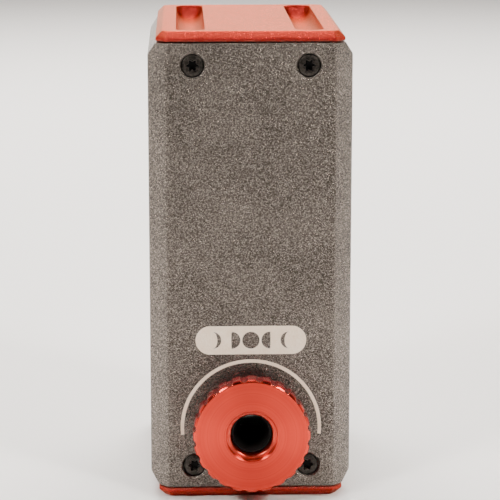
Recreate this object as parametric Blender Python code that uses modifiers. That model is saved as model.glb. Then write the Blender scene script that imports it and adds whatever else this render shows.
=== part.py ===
"""A cooled camera in a tall, narrow housing, as separate pieces on one assembly.

The frame: +Z up, the front face looks along -Y, and the origin is the centre of the flat underside.
Lengths are in metres, written as multiples of MM.
"""

import math

import bmesh
import bpy
from mathutils import Matrix, Vector

MM = 0.001

# ---- driving dimensions -------------------------------------------------------------------------
WIDTH = 50.0 * MM
DEPTH = 72.0 * MM
HEIGHT = 117.0 * MM
GAP = 0.3 * MM  # clearance between neighbouring solids

# housing
WALL = 2.5 * MM  # side walls
FACE_WALL = 3.0 * MM  # front and rear walls
EDGE_CUT = 4.4 * MM  # 45 degree cut along the four upright edges
INNER_CUT = 2.6 * MM  # the same cut inside the walls
SIDE_CUT_X = 2.0 * MM  # steep cut where each side meets the ends
SIDE_CUT_Z = 3.1 * MM
CAP_RIM = 2.6 * MM  # what shows of each end cap
CAP_PLUG = 2.6 * MM  # how far it plugs into the shells
CAP_BEVEL = 1.6 * MM
FLUTE_RADIUS = 3.5 * MM  # two round-bottomed flutes in the top cap
FLUTE_X = 14.5 * MM
FLUTE_INSET = 3.2 * MM  # from the front and rear faces to the flutes' round ends
SCREW_X = 14.1 * MM
SCREW_INSET = 8.3 * MM  # from each end of the housing
SCREW_HEAD = 2.85 * MM  # radius of the housing screws' heads
SCREW_HEAD_HEIGHT = 1.65 * MM
SCREW_SINK = 0.25 * MM  # how far the head lies below the face
SCREW_SHANK = 1.5 * MM
SCREW_LENGTH = 6.4 * MM
POCKET_PLAY = 0.35 * MM  # between a head and its counterbore
BOSS_RADIUS = 4.0 * MM
BOSS_LENGTH = 5.7 * MM
SEAL_THICKNESS = 1.0 * MM
SEAL_WIDTH = 5.0 * MM
TRIPOD_RADIUS = 5.0 * MM  # threaded insert in the underside
TRIPOD_BORE = 3.2 * MM
TRIPOD_Y = 14.0 * MM

# optical port: heights are measured out of the front face
AXIS_Z = 18.2 * MM
RING_RADIUS = 14.5 * MM
RING_FRONT = 8.2 * MM
RING_BACK = 3.1 * MM
RING_CHAMFER = 0.5 * MM
RING_LOBES = 24
SCALLOP_RADIUS = 1.0 * MM
MOUTH_RADIUS = 6.1 * MM
MOUTH_DEPTH = 1.3 * MM
RING_BORE = 5.3 * MM
NECK_RADIUS = 10.5 * MM
STUB_RADIUS = 9.0 * MM
STUB_END = -5.2 * MM
NUT_RADIUS = 12.5 * MM
NUT_THICKNESS = 1.1 * MM
WASHER_THICKNESS = 0.5 * MM
BARREL_RADIUS = 5.0 * MM
BARREL_RIM = 5.0 * MM
BARREL_CONE = 7.5 * MM  # length of the cone behind the rim
BARREL_THROAT = 3.1 * MM
FLANGE_RADIUS = 8.2 * MM
FLANGE_FRONT = -6.5 * MM
FLANGE_BACK = -8.1 * MM
PIN_X = 6.6 * MM
PIN_RADIUS = 0.7 * MM
PIN_LENGTH = 3.4 * MM

# cold chamber
CHAMBER_SIZE = (29.0 * MM, 12.5 * MM, 25.0 * MM)
CHAMBER_FRONT = -26.5 * MM
CHAMBER_Z = 18.3 * MM
CAVITY_WIDTH = 21.0 * MM
CAVITY_HEIGHT = 17.5 * MM
CAVITY_FRONT_WALL = 4.2 * MM
LIGHT_PORT = 5.8 * MM
WINDOW_RADIUS = 7.6 * MM
WINDOW_THICKNESS = 1.0 * MM
SEAT_DEPTH = 3.0 * MM
SEAL_RADIUS = 6.9 * MM
SENSOR_BOARD_SIZE = (19.5 * MM, 1.2 * MM, 16.0 * MM)
SENSOR_BOARD_Y = -16.6 * MM
SENSOR_SIZE = (11.0 * MM, 1.8 * MM, 9.0 * MM)
SENSOR_GLASS_SIZE = (9.4 * MM, 0.5 * MM, 7.4 * MM)
BACK_PLATE = 2.4 * MM
CHAMBER_SCREW_X = 12.3 * MM
CHAMBER_SCREW_Z = 10.3 * MM
CHAMBER_SCREW_HEAD = 1.9 * MM
CHAMBER_SCREW_SHANK = 0.8 * MM
CHAMBER_SCREW_HEIGHT = 1.2 * MM

# cooler
COLD_SIDE = 14.0 * MM
COLD_LENGTH = 8.2 * MM
COLD_PLAY = 0.5 * MM
FOAM_SIDE = 19.0 * MM
PELTIER_SIDE = 20.0 * MM
PELTIER_PLATE = 0.8 * MM
PELLET = 1.4 * MM
PELLET_PITCH = 3.0 * MM
SINK_WIDTH = 41.0 * MM
SINK_BASE = 3.0 * MM
SINK_LOW = 6.0 * MM
SINK_HIGH = 56.0 * MM
SINK_REAR = 21.9 * MM
FIN_LOW = 14.0 * MM
FIN_COUNT = 12
FIN_THICKNESS = 1.1 * MM

# fan
FAN_Z = 34.5 * MM
FAN_SIZE = 40.0 * MM
FAN_DEPTH = 10.0 * MM
FAN_SCREW_OFFSET = 16.0 * MM
FAN_SCREW_HEAD = 2.3 * MM
FAN_SCREW_SHANK = 1.1 * MM
FAN_SCREW_HEIGHT = 1.1 * MM
FAN_TUNNEL = 18.6 * MM
FAN_ARM = 1.2 * MM
MOTOR_SEAT = 1.4 * MM
HUB_RADIUS = 8.0 * MM
HUB_WALL = 1.6 * MM
BLADE_COUNT = 7
BLADE_TIP = 17.6 * MM
BLADE_CHORD = 8.2 * MM
BLADE_SLANT = math.radians(38)
STATOR_RADIUS = 5.6 * MM
STATOR_HEIGHT = 3.6 * MM
STATOR_BORE = 1.4 * MM
SHAFT_RADIUS = 0.9 * MM
GUARD_RADIUS = 18.9 * MM
GUARD_THICKNESS = 1.2 * MM
GUARD_BAND = 1.2 * MM
GUARD_RINGS = 3
VENT_COUNT = 7
VENT_PITCH = 5.0 * MM
VENT_LENGTH = 17.0 * MM
VENT_HEIGHT = 2.0 * MM
VENT_Y = 11.5 * MM

# electronics
BOARD_SIZE = (39.0 * MM, 1.6 * MM, 42.0 * MM)
BOARD_Z = 81.0 * MM
MAIN_BOARD_Y = 21.0 * MM
PROCESSOR_BOARD_Y = 0.0
BOARD_HOLE_X = 16.5 * MM
BOARD_HOLE_Z = 18.0 * MM
SPACER_RADIUS = 2.5 * MM
BOLT_SHANK = 1.0 * MM
BOLT_HEAD_HEIGHT = 1.3 * MM
BOLT_LENGTH = 28.0 * MM
USB_WIDTH = 9.0 * MM
USB_HEIGHT = 3.3 * MM
USB_Z = 71.0 * MM
JACK_RADIUS = 4.4 * MM
JACK_BORE = 3.2 * MM
JACK_DEPTH = 9.0 * MM
JACK_Z = 84.0 * MM
LIGHT_RADIUS = 1.5 * MM
LIGHT_Z = 94.0 * MM
RIBBON_X = -5.0 * MM
RIBBON_WIDTH = 9.0 * MM
RIBBON_THICKNESS = 0.4 * MM

# ---- places worked out from them ----------------------------------------------------------------
FRONT_Y = -DEPTH / 2
REAR_Y = DEPTH / 2
SHELL_LOW = CAP_RIM + GAP / 2
SHELL_HIGH = HEIGHT - CAP_RIM - GAP / 2
CHAMBER_REAR = CHAMBER_FRONT + CHAMBER_SIZE[1]
FAN_FRONT = REAR_Y - FACE_WALL - GAP - FAN_DEPTH
FAN_REAR = FAN_FRONT + FAN_DEPTH
FACE_FORWARD = (math.pi / 2, 0, 0)  # turns a piece's own +Z to look out of the front
FACE_BACK = (-math.pi / 2, 0, 0)
UPRIGHT = (0, 0, 0)


def four_corners(x, z, middle_z):
    return [(sx * x, middle_z + sz * z) for sz in (-1, 1) for sx in (-1, 1)]


SCREW_PLACES = four_corners(SCREW_X, HEIGHT / 2 - SCREW_INSET, HEIGHT / 2)
CHAMBER_SCREW_PLACES = four_corners(CHAMBER_SCREW_X, CHAMBER_SCREW_Z, CHAMBER_Z)
FAN_SCREW_PLACES = four_corners(FAN_SCREW_OFFSET, FAN_SCREW_OFFSET, FAN_Z)
BOARD_HOLES = four_corners(BOARD_HOLE_X, BOARD_HOLE_Z, BOARD_Z)

for old in list(bpy.data.objects):
    bpy.data.objects.remove(old)

camera_parts = bpy.data.collections.new("cooled_camera")
cutters = bpy.data.collections.new("cutters")
bpy.context.scene.collection.children.link(camera_parts)
bpy.context.scene.collection.children.link(cutters)


# ---- materials ----------------------------------------------------------------------------------
def finish(name, colour, roughness, metallic=0.0):
    made = bpy.data.materials.new(name)
    made.use_nodes = True
    shader = made.node_tree.nodes["Principled BSDF"]
    shader.inputs["Base Color"].default_value = (*colour, 1.0)
    shader.inputs["Roughness"].default_value = roughness
    shader.inputs["Metallic"].default_value = metallic
    made.diffuse_color = (*colour, 1.0)
    return made


GREY_ANODISED = finish("grey_anodised", (0.22, 0.19, 0.17), 0.45, 1.0)
RED_ANODISED = finish("red_anodised", (0.62, 0.07, 0.04), 0.35, 1.0)
BLACK_ANODISED = finish("black_anodised", (0.012, 0.012, 0.012), 0.6, 0.6)
BLACK_STEEL = finish("black_steel", (0.02, 0.019, 0.018), 0.4, 0.9)
BRIGHT_STEEL = finish("bright_steel", (0.6, 0.6, 0.6), 0.25, 1.0)
BARE_ALUMINIUM = finish("bare_aluminium", (0.75, 0.75, 0.76), 0.4, 1.0)
COPPER = finish("copper", (0.8, 0.4, 0.25), 0.3, 1.0)
BRASS = finish("brass", (0.75, 0.58, 0.3), 0.3, 1.0)
GLASS = finish("glass", (0.9, 0.95, 0.95), 0.03)
RUBBER = finish("rubber", (0.02, 0.02, 0.02), 0.8)
BLACK_PLASTIC = finish("black_plastic", (0.02, 0.02, 0.022), 0.45)
WHITE_CERAMIC = finish("white_ceramic", (0.85, 0.84, 0.8), 0.5)
GREY_FOAM = finish("grey_foam", (0.2, 0.2, 0.21), 0.9)
BOARD_GREEN = finish("board_green", (0.02, 0.12, 0.05), 0.4)
AMBER_FILM = finish("amber_film", (0.6, 0.32, 0.08), 0.35)
PALE_PLASTIC = finish("pale_plastic", (0.75, 0.72, 0.62), 0.5)
CLEAR_LENS = finish("clear_lens", (0.6, 0.75, 0.6), 0.2)


# ---- making and placing pieces ------------------------------------------------------------------
def place(name, mesh, look, location=(0, 0, 0), rotation=UPRIGHT):
    """A named sub-part of the camera."""
    piece = bpy.data.objects.new(name, mesh)
    piece.location = location
    piece.rotation_euler = rotation
    camera_parts.objects.link(piece)
    if look is not None:
        mesh.materials.clear()
        mesh.materials.append(look)
    return piece


def mesh_from(name, form, smooth_angle=None):
    mesh = bpy.data.meshes.new(name)
    form.to_mesh(mesh)
    form.free()
    if smooth_angle is not None:
        mesh.shade_smooth()
        mesh.set_sharp_from_angle(angle=math.radians(smooth_angle))
    return mesh


def blocks(name, sizes_and_centres, look=None, bevel=0.0):
    """Boxes from their sizes and centres, their edges bevelled if asked."""
    form = bmesh.new()
    for size, centre in sizes_and_centres:
        matrix = Matrix.Translation(centre) @ Matrix.Diagonal((*size, 1))
        bmesh.ops.create_cube(form, size=1.0, matrix=matrix)
    if bevel:
        bmesh.ops.bevel(form, geom=form.edges[:], offset=bevel, segments=1, affect="EDGES")
    return place(name, mesh_from(name, form), look)


def block(name, size, centre, look=None, bevel=0.0):
    return blocks(name, [(size, centre)], look, bevel)


def rods(name, radius, length, places, look=None, rotation=FACE_FORWARD, sides=16):
    """Round rods of one size, centred on the places."""
    form = bmesh.new()
    turn = Matrix.Rotation(rotation[0], 4, "X")
    for centre in places:
        bmesh.ops.create_cone(form, cap_ends=True, segments=sides, radius1=radius, radius2=radius,
                              depth=length, matrix=Matrix.Translation(centre) @ turn)
    return place(name, mesh_from(name, form, 40), look)


def rod_between(name, radius, low_y, high_y, x, z, look=None, sides=16):
    """One rod along Y between two planes."""
    return rods(name, radius, high_y - low_y, [(x, (low_y + high_y) / 2, z)], look, sides=sides)


def turned(name, profile, look, location, rotation=FACE_FORWARD, steps=40, closed=True):
    """A turned piece: (radius, height) points down the outer side and up the bore, spun by a Screw."""
    mesh = bpy.data.meshes.new(name)
    points = [(radius, 0, height) for radius, height in profile]
    edges = [(i, i + 1) for i in range(len(points) - 1)]
    if closed:
        edges.append((len(points) - 1, 0))
    mesh.from_pydata(points, edges, [])
    piece = place(name, mesh, look, location, rotation)
    spin = piece.modifiers.new("spin", "SCREW")
    spin.steps = spin.render_steps = steps
    spin.use_merge_vertices = True
    spin.merge_threshold = 0.00001
    return piece


def washer_profile(outer, bore, front, back):
    return [(outer, front), (outer, back), (bore, back), (bore, front)]


def outline_prism(name, points, thickness, look=None, location=(0, 0, 0), rotation=UPRIGHT):
    """A flat outline with a thickness: a filled 2D curve, made a welded mesh."""
    curve = bpy.data.curves.new(name, "CURVE")
    curve.dimensions = "2D"
    curve.fill_mode = "BOTH"
    curve.extrude = thickness / 2
    line = curve.splines.new("POLY")
    line.points.add(len(points) - 1)
    line.use_cyclic_u = True
    for point, (x, y) in zip(line.points, points):
        point.co = (x, y, 0, 1)
    sketch = bpy.data.objects.new(name + "_sketch", curve)
    camera_parts.objects.link(sketch)
    mesh = bpy.data.meshes.new_from_object(sketch.evaluated_get(bpy.context.evaluated_depsgraph_get()))
    bpy.data.objects.remove(sketch)
    form = bmesh.new()
    form.from_mesh(mesh)
    bmesh.ops.remove_doubles(form, verts=form.verts[:], dist=0.000001)
    form.to_mesh(mesh)
    form.free()
    return place(name, mesh, look, location, rotation)


def cut(piece, cutter, operation="DIFFERENCE"):
    """Cuts, joins or keeps the cutter's space, and hides the cutter."""
    change = piece.modifiers.new(cutter.name, "BOOLEAN")
    change.operation = operation
    change.object = cutter
    camera_parts.objects.unlink(cutter)
    cutters.objects.link(cutter)
    cutter.hide_render = True
    cutter.display_type = "WIRE"


def join(piece, other):
    cut(piece, other, "UNION")


def baked(piece):
    """A piece's mesh after its modifiers; the piece and its cutters go."""
    graph = bpy.context.evaluated_depsgraph_get()
    mesh = bpy.data.meshes.new_from_object(piece.evaluated_get(graph))
    helpers = [change.object for change in piece.modifiers if change.type == "BOOLEAN"]
    for done in [piece, *helpers]:
        bpy.data.objects.remove(done)
    return mesh


def cut_corners(half_x, half_y, cut_x, cut_y):
    """A rectangle's outline with its four corners cut off."""
    x, y = half_x, half_y
    return [(x, -y + cut_y), (x, y - cut_y), (x - cut_x, y), (-x + cut_x, y),
            (-x, y - cut_y), (-x, -y + cut_y), (-x + cut_x, -y), (x - cut_x, -y)]


# ---- screws -------------------------------------------------------------------------------------
def screw_mesh(head, head_height, shank, length, recess, steps):
    """A round-head screw along Z, the top of its head at 0, with a six-lobed recess."""
    edge = 0.35 * head_height
    profile = [(0, 0), (head - edge, 0), (head, -edge), (head, -head_height), (shank, -head_height),
               (shank, -head_height - length), (0, -head_height - length)]
    screw = turned("screw", profile, BLACK_STEEL, (0, 0, 0), UPRIGHT, steps, closed=False)
    star = []
    for i in range(12):
        reach = recess if i % 2 == 0 else 0.72 * recess
        star.append((reach * math.cos(i * math.pi / 6), reach * math.sin(i * math.pi / 6)))
    recess_depth = 0.62 * head_height
    cut(screw, outline_prism("recess", star, 2 * recess_depth))
    return baked(screw)


def screws(name, mesh, head_top, places, rotation):
    """One screw of its own for each place, sharing a mesh."""
    for number, (x, z) in enumerate(places, 1):
        place(f"{name}_{number}", mesh, BLACK_STEEL, (x, head_top, z), rotation)


# ---- housing: two shells and two end caps -------------------------------------------------------
def shell_half(name, low_y, high_y):
    """One half of the hollow housing, between two planes across the depth."""
    height = SHELL_HIGH - SHELL_LOW
    middle = (0, 0, (SHELL_HIGH + SHELL_LOW) / 2)
    plan = cut_corners(WIDTH / 2, DEPTH / 2, EDGE_CUT, EDGE_CUT)
    shell = outline_prism(name, plan, height, GREY_ANODISED, middle)
    front_view = cut_corners(WIDTH / 2, height / 2, SIDE_CUT_X, SIDE_CUT_Z)
    cut(shell, outline_prism(name + "_view", front_view, DEPTH * 1.1, None, middle, FACE_FORWARD), "INTERSECT")
    inside = cut_corners(WIDTH / 2 - WALL, DEPTH / 2 - FACE_WALL, INNER_CUT, INNER_CUT)
    cut(shell, outline_prism(name + "_inside", inside, HEIGHT * 1.2, None, middle))
    keep_size = (WIDTH * 1.2, high_y - low_y, HEIGHT * 1.2)
    cut(shell, block(name + "_keep", keep_size, (0, (low_y + high_y) / 2, HEIGHT / 2)), "INTERSECT")
    return shell


def sink_heads(shell, name, face_y, outward, places, head, depth, shank):
    """Counterbores and through holes for a face's screws."""
    spare = MM  # the cutters reach this far out of the face
    pocket_y = face_y + outward * (spare - depth) / 2
    cut(shell, rods(name + "_pockets", head, depth + spare, [(x, pocket_y, z) for x, z in places], sides=16))
    holes = rods(name + "_holes", shank, FACE_WALL * 3, [(x, face_y, z) for x, z in places], sides=8)
    cut(shell, holes)


def make_front_shell():
    shell = shell_half("front_shell", FRONT_Y - MM, -GAP / 2)
    sink_heads(shell, "front", FRONT_Y, -1, SCREW_PLACES, SCREW_HEAD + POCKET_PLAY,
               SCREW_HEAD_HEIGHT + SCREW_SINK + GAP, SCREW_SHANK + GAP)
    cut(shell, rods("ring_port", NECK_RADIUS + GAP, FACE_WALL * 3, [(0, FRONT_Y, AXIS_Z)], sides=40))


def make_rear_shell():
    shell = shell_half("rear_shell", GAP / 2, REAR_Y + MM)
    bosses_start = MAIN_BOARD_Y + BOARD_SIZE[1] / 2 + GAP
    bosses_end = REAR_Y - FACE_WALL / 2
    bosses = [(x, (bosses_start + bosses_end) / 2, z) for x, z in BOARD_HOLES]
    join(shell, rods("board_bosses", SPACER_RADIUS, bosses_end - bosses_start, bosses, sides=10))
    bolt_holes = [(x, bosses_start, z) for x, z in BOARD_HOLES]
    cut(shell, rods("boss_threads", BOLT_SHANK + GAP, 16 * MM, bolt_holes, sides=8))
    sink_heads(shell, "rear", REAR_Y, 1, SCREW_PLACES, SCREW_HEAD + POCKET_PLAY,
               SCREW_HEAD_HEIGHT + SCREW_SINK + GAP, SCREW_SHANK + GAP)
    sink_heads(shell, "fan", REAR_Y, 1, FAN_SCREW_PLACES, FAN_SCREW_HEAD + GAP,
               FAN_SCREW_HEIGHT + 2 * GAP, FAN_SCREW_SHANK + GAP)
    cut(shell, rods("guard_seat", GUARD_RADIUS + GAP, 2 * GUARD_THICKNESS, [(0, REAR_Y, FAN_Z)], sides=32))
    cut(shell, rods("fan_port", FAN_TUNNEL, FACE_WALL * 3, [(0, REAR_Y, FAN_Z)], sides=32))
    usb_size = (USB_WIDTH + 2 * GAP, FACE_WALL * 3, USB_HEIGHT + 2 * GAP)
    cut(shell, block("data_port", usb_size, (0, REAR_Y, USB_Z)))
    cut(shell, rods("power_port", JACK_RADIUS + GAP, FACE_WALL * 3, [(0, REAR_Y, JACK_Z)], sides=24))
    cut(shell, rods("light_port", LIGHT_RADIUS + GAP, FACE_WALL * 3, [(0, REAR_Y, LIGHT_Z)], sides=12))
    lowest = FAN_Z - (VENT_COUNT - 1) * VENT_PITCH / 2
    slots = [((WIDTH * 1.2, VENT_LENGTH, VENT_HEIGHT), (0, VENT_Y, lowest + i * VENT_PITCH))
             for i in range(VENT_COUNT)]
    cut(shell, blocks("side_vents", slots))


def cap_form(name, up):
    """An end cap: bevelled rim, a plug that fits inside the shells, and four threaded bosses."""
    outer_z = HEIGHT if up > 0 else 0.0
    corner = EDGE_CUT - SIDE_CUT_X
    rim_outline = cut_corners(WIDTH / 2 - SIDE_CUT_X, DEPTH / 2, corner, corner)
    rim_height = CAP_RIM - GAP / 2
    cap = outline_prism(name, rim_outline, rim_height, RED_ANODISED, (0, 0, outer_z - up * rim_height / 2))
    bevel_outer_face(cap.data, up)
    plug_outline = cut_corners(WIDTH / 2 - WALL - GAP, DEPTH / 2 - FACE_WALL - GAP, INNER_CUT, INNER_CUT)
    plug_height = CAP_PLUG + CAP_RIM / 2
    plug_z = outer_z - up * (CAP_RIM + CAP_PLUG - plug_height / 2)
    join(cap, outline_prism(name + "_plug", plug_outline, plug_height, None, (0, 0, plug_z)))
    screw_z = outer_z - up * SCREW_INSET
    boss_y = DEPTH / 2 - FACE_WALL - GAP - BOSS_LENGTH / 2
    foot_z = outer_z - up * (CAP_RIM + SCREW_INSET) / 2
    foot_size = (2 * BOSS_RADIUS, BOSS_LENGTH, SCREW_INSET - CAP_RIM)
    centres = [(x, y) for x in (-SCREW_X, SCREW_X) for y in (-boss_y, boss_y)]
    join(cap, blocks(name + "_boss_feet", [(foot_size, (x, y, foot_z)) for x, y in centres]))
    at_screws = [(x, y, screw_z) for x, y in centres]
    join(cap, rods(name + "_boss_rounds", BOSS_RADIUS, BOSS_LENGTH, at_screws, sides=16))
    cut(cap, rods(name + "_threads", SCREW_SHANK + GAP, BOSS_LENGTH * 1.4, at_screws, sides=8))
    return cap


def bevel_outer_face(mesh, up):
    """Bevels the edges round the face of a flat prism that looks out."""
    form = bmesh.new()
    form.from_mesh(mesh)
    outer = max(vert.co.z * up for vert in form.verts)
    edges = []
    for edge in form.edges:
        on_face = all(abs(vert.co.z * up - outer) < 0.01 * MM for vert in edge.verts)
        if on_face and edge.calc_face_angle(0) > 0.1:
            edges.append(edge)
    bmesh.ops.bevel(form, geom=edges, offset=CAP_BEVEL, segments=1, affect="EDGES")
    form.to_mesh(mesh)
    form.free()


def round_ended_rod(name, radius, low_y, high_y, x, z):
    """A ball-ended rod along Y: a sphere pulled apart at its middle."""
    form = bmesh.new()
    bmesh.ops.create_uvsphere(form, u_segments=16, v_segments=9, radius=radius)
    bmesh.ops.rotate(form, verts=form.verts[:], matrix=Matrix.Rotation(math.pi / 2, 3, "X"))
    for vert in form.verts:
        vert.co.y += (high_y - radius) if vert.co.y > 0 else (low_y + radius)
    return place(name, mesh_from(name, form), None, (x, 0, z))


def make_caps():
    top = cap_form("top_cap", 1)
    for side, x in (("left", -FLUTE_X), ("right", FLUTE_X)):
        low_y, high_y = FRONT_Y + FLUTE_INSET, REAR_Y - FLUTE_INSET
        cut(top, round_ended_rod(side + "_flute", FLUTE_RADIUS, low_y, high_y, x, HEIGHT))
    bottom = cap_form("bottom_cap", -1)
    hole = rods("tripod_hole", TRIPOD_RADIUS + GAP, 4 * CAP_RIM, [(0, TRIPOD_Y, 0)], None, UPRIGHT, 24)
    cut(bottom, hole)
    insert = washer_profile(TRIPOD_RADIUS, TRIPOD_BORE, CAP_RIM + CAP_PLUG, GAP)
    turned("tripod_insert", insert, BRIGHT_STEEL, (0, TRIPOD_Y, 0), UPRIGHT, 24)


def make_housing_fixings():
    mesh = screw_mesh(SCREW_HEAD, SCREW_HEAD_HEIGHT, SCREW_SHANK, SCREW_LENGTH, 1.4 * MM, 14)
    screws("front_screw", mesh, FRONT_Y + SCREW_SINK, SCREW_PLACES, FACE_FORWARD)
    screws("rear_screw", mesh, REAR_Y - SCREW_SINK, SCREW_PLACES, FACE_BACK)
    x = WIDTH / 2 - WALL - GAP - SEAL_THICKNESS / 2
    height = HEIGHT - 2 * (CAP_RIM + CAP_PLUG + 2 * GAP)
    for name, side in (("left_seam_seal", -1), ("right_seam_seal", 1)):
        block(name, (SEAL_THICKNESS, SEAL_WIDTH, height), (side * x, 0, HEIGHT / 2), RUBBER)


# ---- optical port: ring, nut, washer and barrel -------------------------------------------------
def make_knurled_ring():
    """Turned ring with scallops milled round its rim."""
    front, back, outer = RING_FRONT, RING_BACK, RING_RADIUS
    lip = 0.4 * MM
    profile = [(outer - RING_CHAMFER, front), (outer, front - RING_CHAMFER), (outer, back + RING_CHAMFER),
               (outer - RING_CHAMFER, back), (NECK_RADIUS, back), (NECK_RADIUS, -FACE_WALL),
               (STUB_RADIUS, -FACE_WALL), (STUB_RADIUS, STUB_END), (RING_BORE, STUB_END),
               (RING_BORE, front - MOUTH_DEPTH), (MOUTH_RADIUS, front - MOUTH_DEPTH),
               (MOUTH_RADIUS, front - lip), (MOUTH_RADIUS + lip, front)]
    ring = turned("knurled_ring", profile, RED_ANODISED, (0, FRONT_Y, AXIS_Z), steps=48)
    reach = RING_RADIUS + 0.35 * SCALLOP_RADIUS
    places = []
    for i in range(RING_LOBES):
        angle = 2 * math.pi * (i + 0.5) / RING_LOBES + math.pi / 2
        y = FRONT_Y - (front + back) / 2
        places.append((reach * math.cos(angle), y, AXIS_Z + reach * math.sin(angle)))
    cut(ring, rods("scallops", SCALLOP_RADIUS, front - back + 2 * MM, places, sides=8))


def make_ring_keepers():
    bore = STUB_RADIUS + GAP
    nut = washer_profile(NUT_RADIUS, bore, STUB_END + NUT_THICKNESS, STUB_END)
    turned("retaining_nut", nut, BLACK_STEEL, (0, FRONT_Y, AXIS_Z), steps=24)
    slot_size = (2.4 * NUT_RADIUS, NUT_THICKNESS, 1.6 * MM)
    cut(bpy.data.objects["retaining_nut"], block("spanner_slot", slot_size, (0, FRONT_Y - STUB_END, AXIS_Z)))
    front = -FACE_WALL - GAP
    washer = washer_profile(NUT_RADIUS, bore, front, front - WASHER_THICKNESS)
    turned("thrust_washer", washer, PALE_PLASTIC, (0, FRONT_Y, AXIS_Z), steps=24)


def make_focus_barrel():
    """The black tube, conical inside, that the ring's thread drives in and out, and its two guide pins."""
    edge = 0.2 * MM
    profile = [(BARREL_RADIUS - edge, BARREL_RIM), (BARREL_RADIUS, BARREL_RIM - edge),
               (BARREL_RADIUS, FLANGE_FRONT), (FLANGE_RADIUS, FLANGE_FRONT), (FLANGE_RADIUS, FLANGE_BACK),
               (BARREL_THROAT, FLANGE_BACK), (BARREL_THROAT, BARREL_RIM - BARREL_CONE),
               (BARREL_RADIUS - 2 * edge, BARREL_RIM)]
    barrel = turned("focus_barrel", profile, BLACK_ANODISED, (0, FRONT_Y, AXIS_Z), steps=28)
    flange_y = FRONT_Y - (FLANGE_FRONT + FLANGE_BACK) / 2
    places = [(x, flange_y, AXIS_Z) for x in (-PIN_X, PIN_X)]
    cut(barrel, rods("guide_holes", PIN_RADIUS + GAP, 3 * MM, places, sides=12))
    pin_end = CHAMBER_FRONT - GAP
    for name, x in (("left_guide_pin", -PIN_X), ("right_guide_pin", PIN_X)):
        rod_between(name, PIN_RADIUS, pin_end - PIN_LENGTH, pin_end, x, AXIS_Z, BRIGHT_STEEL, 10)


# ---- cold sensor chamber ------------------------------------------------------------------------
def make_chamber():
    width, depth, height = CHAMBER_SIZE
    centre_y = CHAMBER_FRONT + depth / 2
    body = block("chamber_body", CHAMBER_SIZE, (0, centre_y, CHAMBER_Z), BLACK_ANODISED, 0.8 * MM)
    cavity_y = centre_y + CAVITY_FRONT_WALL
    cut(body, block("chamber_cavity", (CAVITY_WIDTH, depth, CAVITY_HEIGHT), (0, cavity_y, AXIS_Z)))
    at_front = [(0, CHAMBER_FRONT, AXIS_Z)]
    cut(body, rods("window_seat", WINDOW_RADIUS + GAP, 2 * SEAT_DEPTH, at_front, sides=24))
    cut(body, rods("light_path", LIGHT_PORT, 3 * CAVITY_FRONT_WALL, at_front, sides=24))
    bolt_holes = [(x, CHAMBER_REAR, z) for x, z in CHAMBER_SCREW_PLACES]
    cut(body, rods("chamber_threads", CHAMBER_SCREW_SHANK + GAP, 10 * MM, bolt_holes, sides=8))
    slot_size = (RIBBON_WIDTH + 2 * MM, RIBBON_THICKNESS + 2 * GAP, height / 2)
    cut(body, block("ribbon_slot", slot_size, (RIBBON_X, SENSOR_BOARD_Y, CHAMBER_Z + height / 2)))
    window_front = CHAMBER_FRONT + GAP / 2
    window_back = window_front + WINDOW_THICKNESS
    rod_between("chamber_window", WINDOW_RADIUS, window_front, window_back, 0, AXIS_Z, GLASS, 24)
    cord = (SEAT_DEPTH - GAP / 2 - WINDOW_THICKNESS) / 2 - GAP
    ring = [(SEAL_RADIUS + cord * math.sin(i * math.pi / 3), cord * math.cos(i * math.pi / 3)) for i in range(6)]
    turned("window_seal", ring, RUBBER, (0, window_back + GAP + cord, AXIS_Z), steps=20)


def make_sensor():
    block("sensor_board", SENSOR_BOARD_SIZE, (0, SENSOR_BOARD_Y, AXIS_Z), BOARD_GREEN)
    sensor_y = SENSOR_BOARD_Y - (SENSOR_BOARD_SIZE[1] + SENSOR_SIZE[1]) / 2 - GAP
    block("image_sensor", SENSOR_SIZE, (0, sensor_y, AXIS_Z), WHITE_CERAMIC, 0.2 * MM)
    glass_y = sensor_y - (SENSOR_SIZE[1] + SENSOR_GLASS_SIZE[1]) / 2 - GAP
    block("sensor_glass", SENSOR_GLASS_SIZE, (0, glass_y, AXIS_Z), GLASS)


def square_collar(name, width, height, side, low_y, high_y, centre_z, look):
    """A plate or block along Y with a square hole on the optical axis."""
    depth = high_y - low_y
    middle = (low_y + high_y) / 2
    collar = block(name, (width, depth, height), (0, middle, centre_z), look)
    cut(collar, block(name + "_hole", (side, 2 * depth, side), (0, middle, AXIS_Z)))
    return collar


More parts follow.
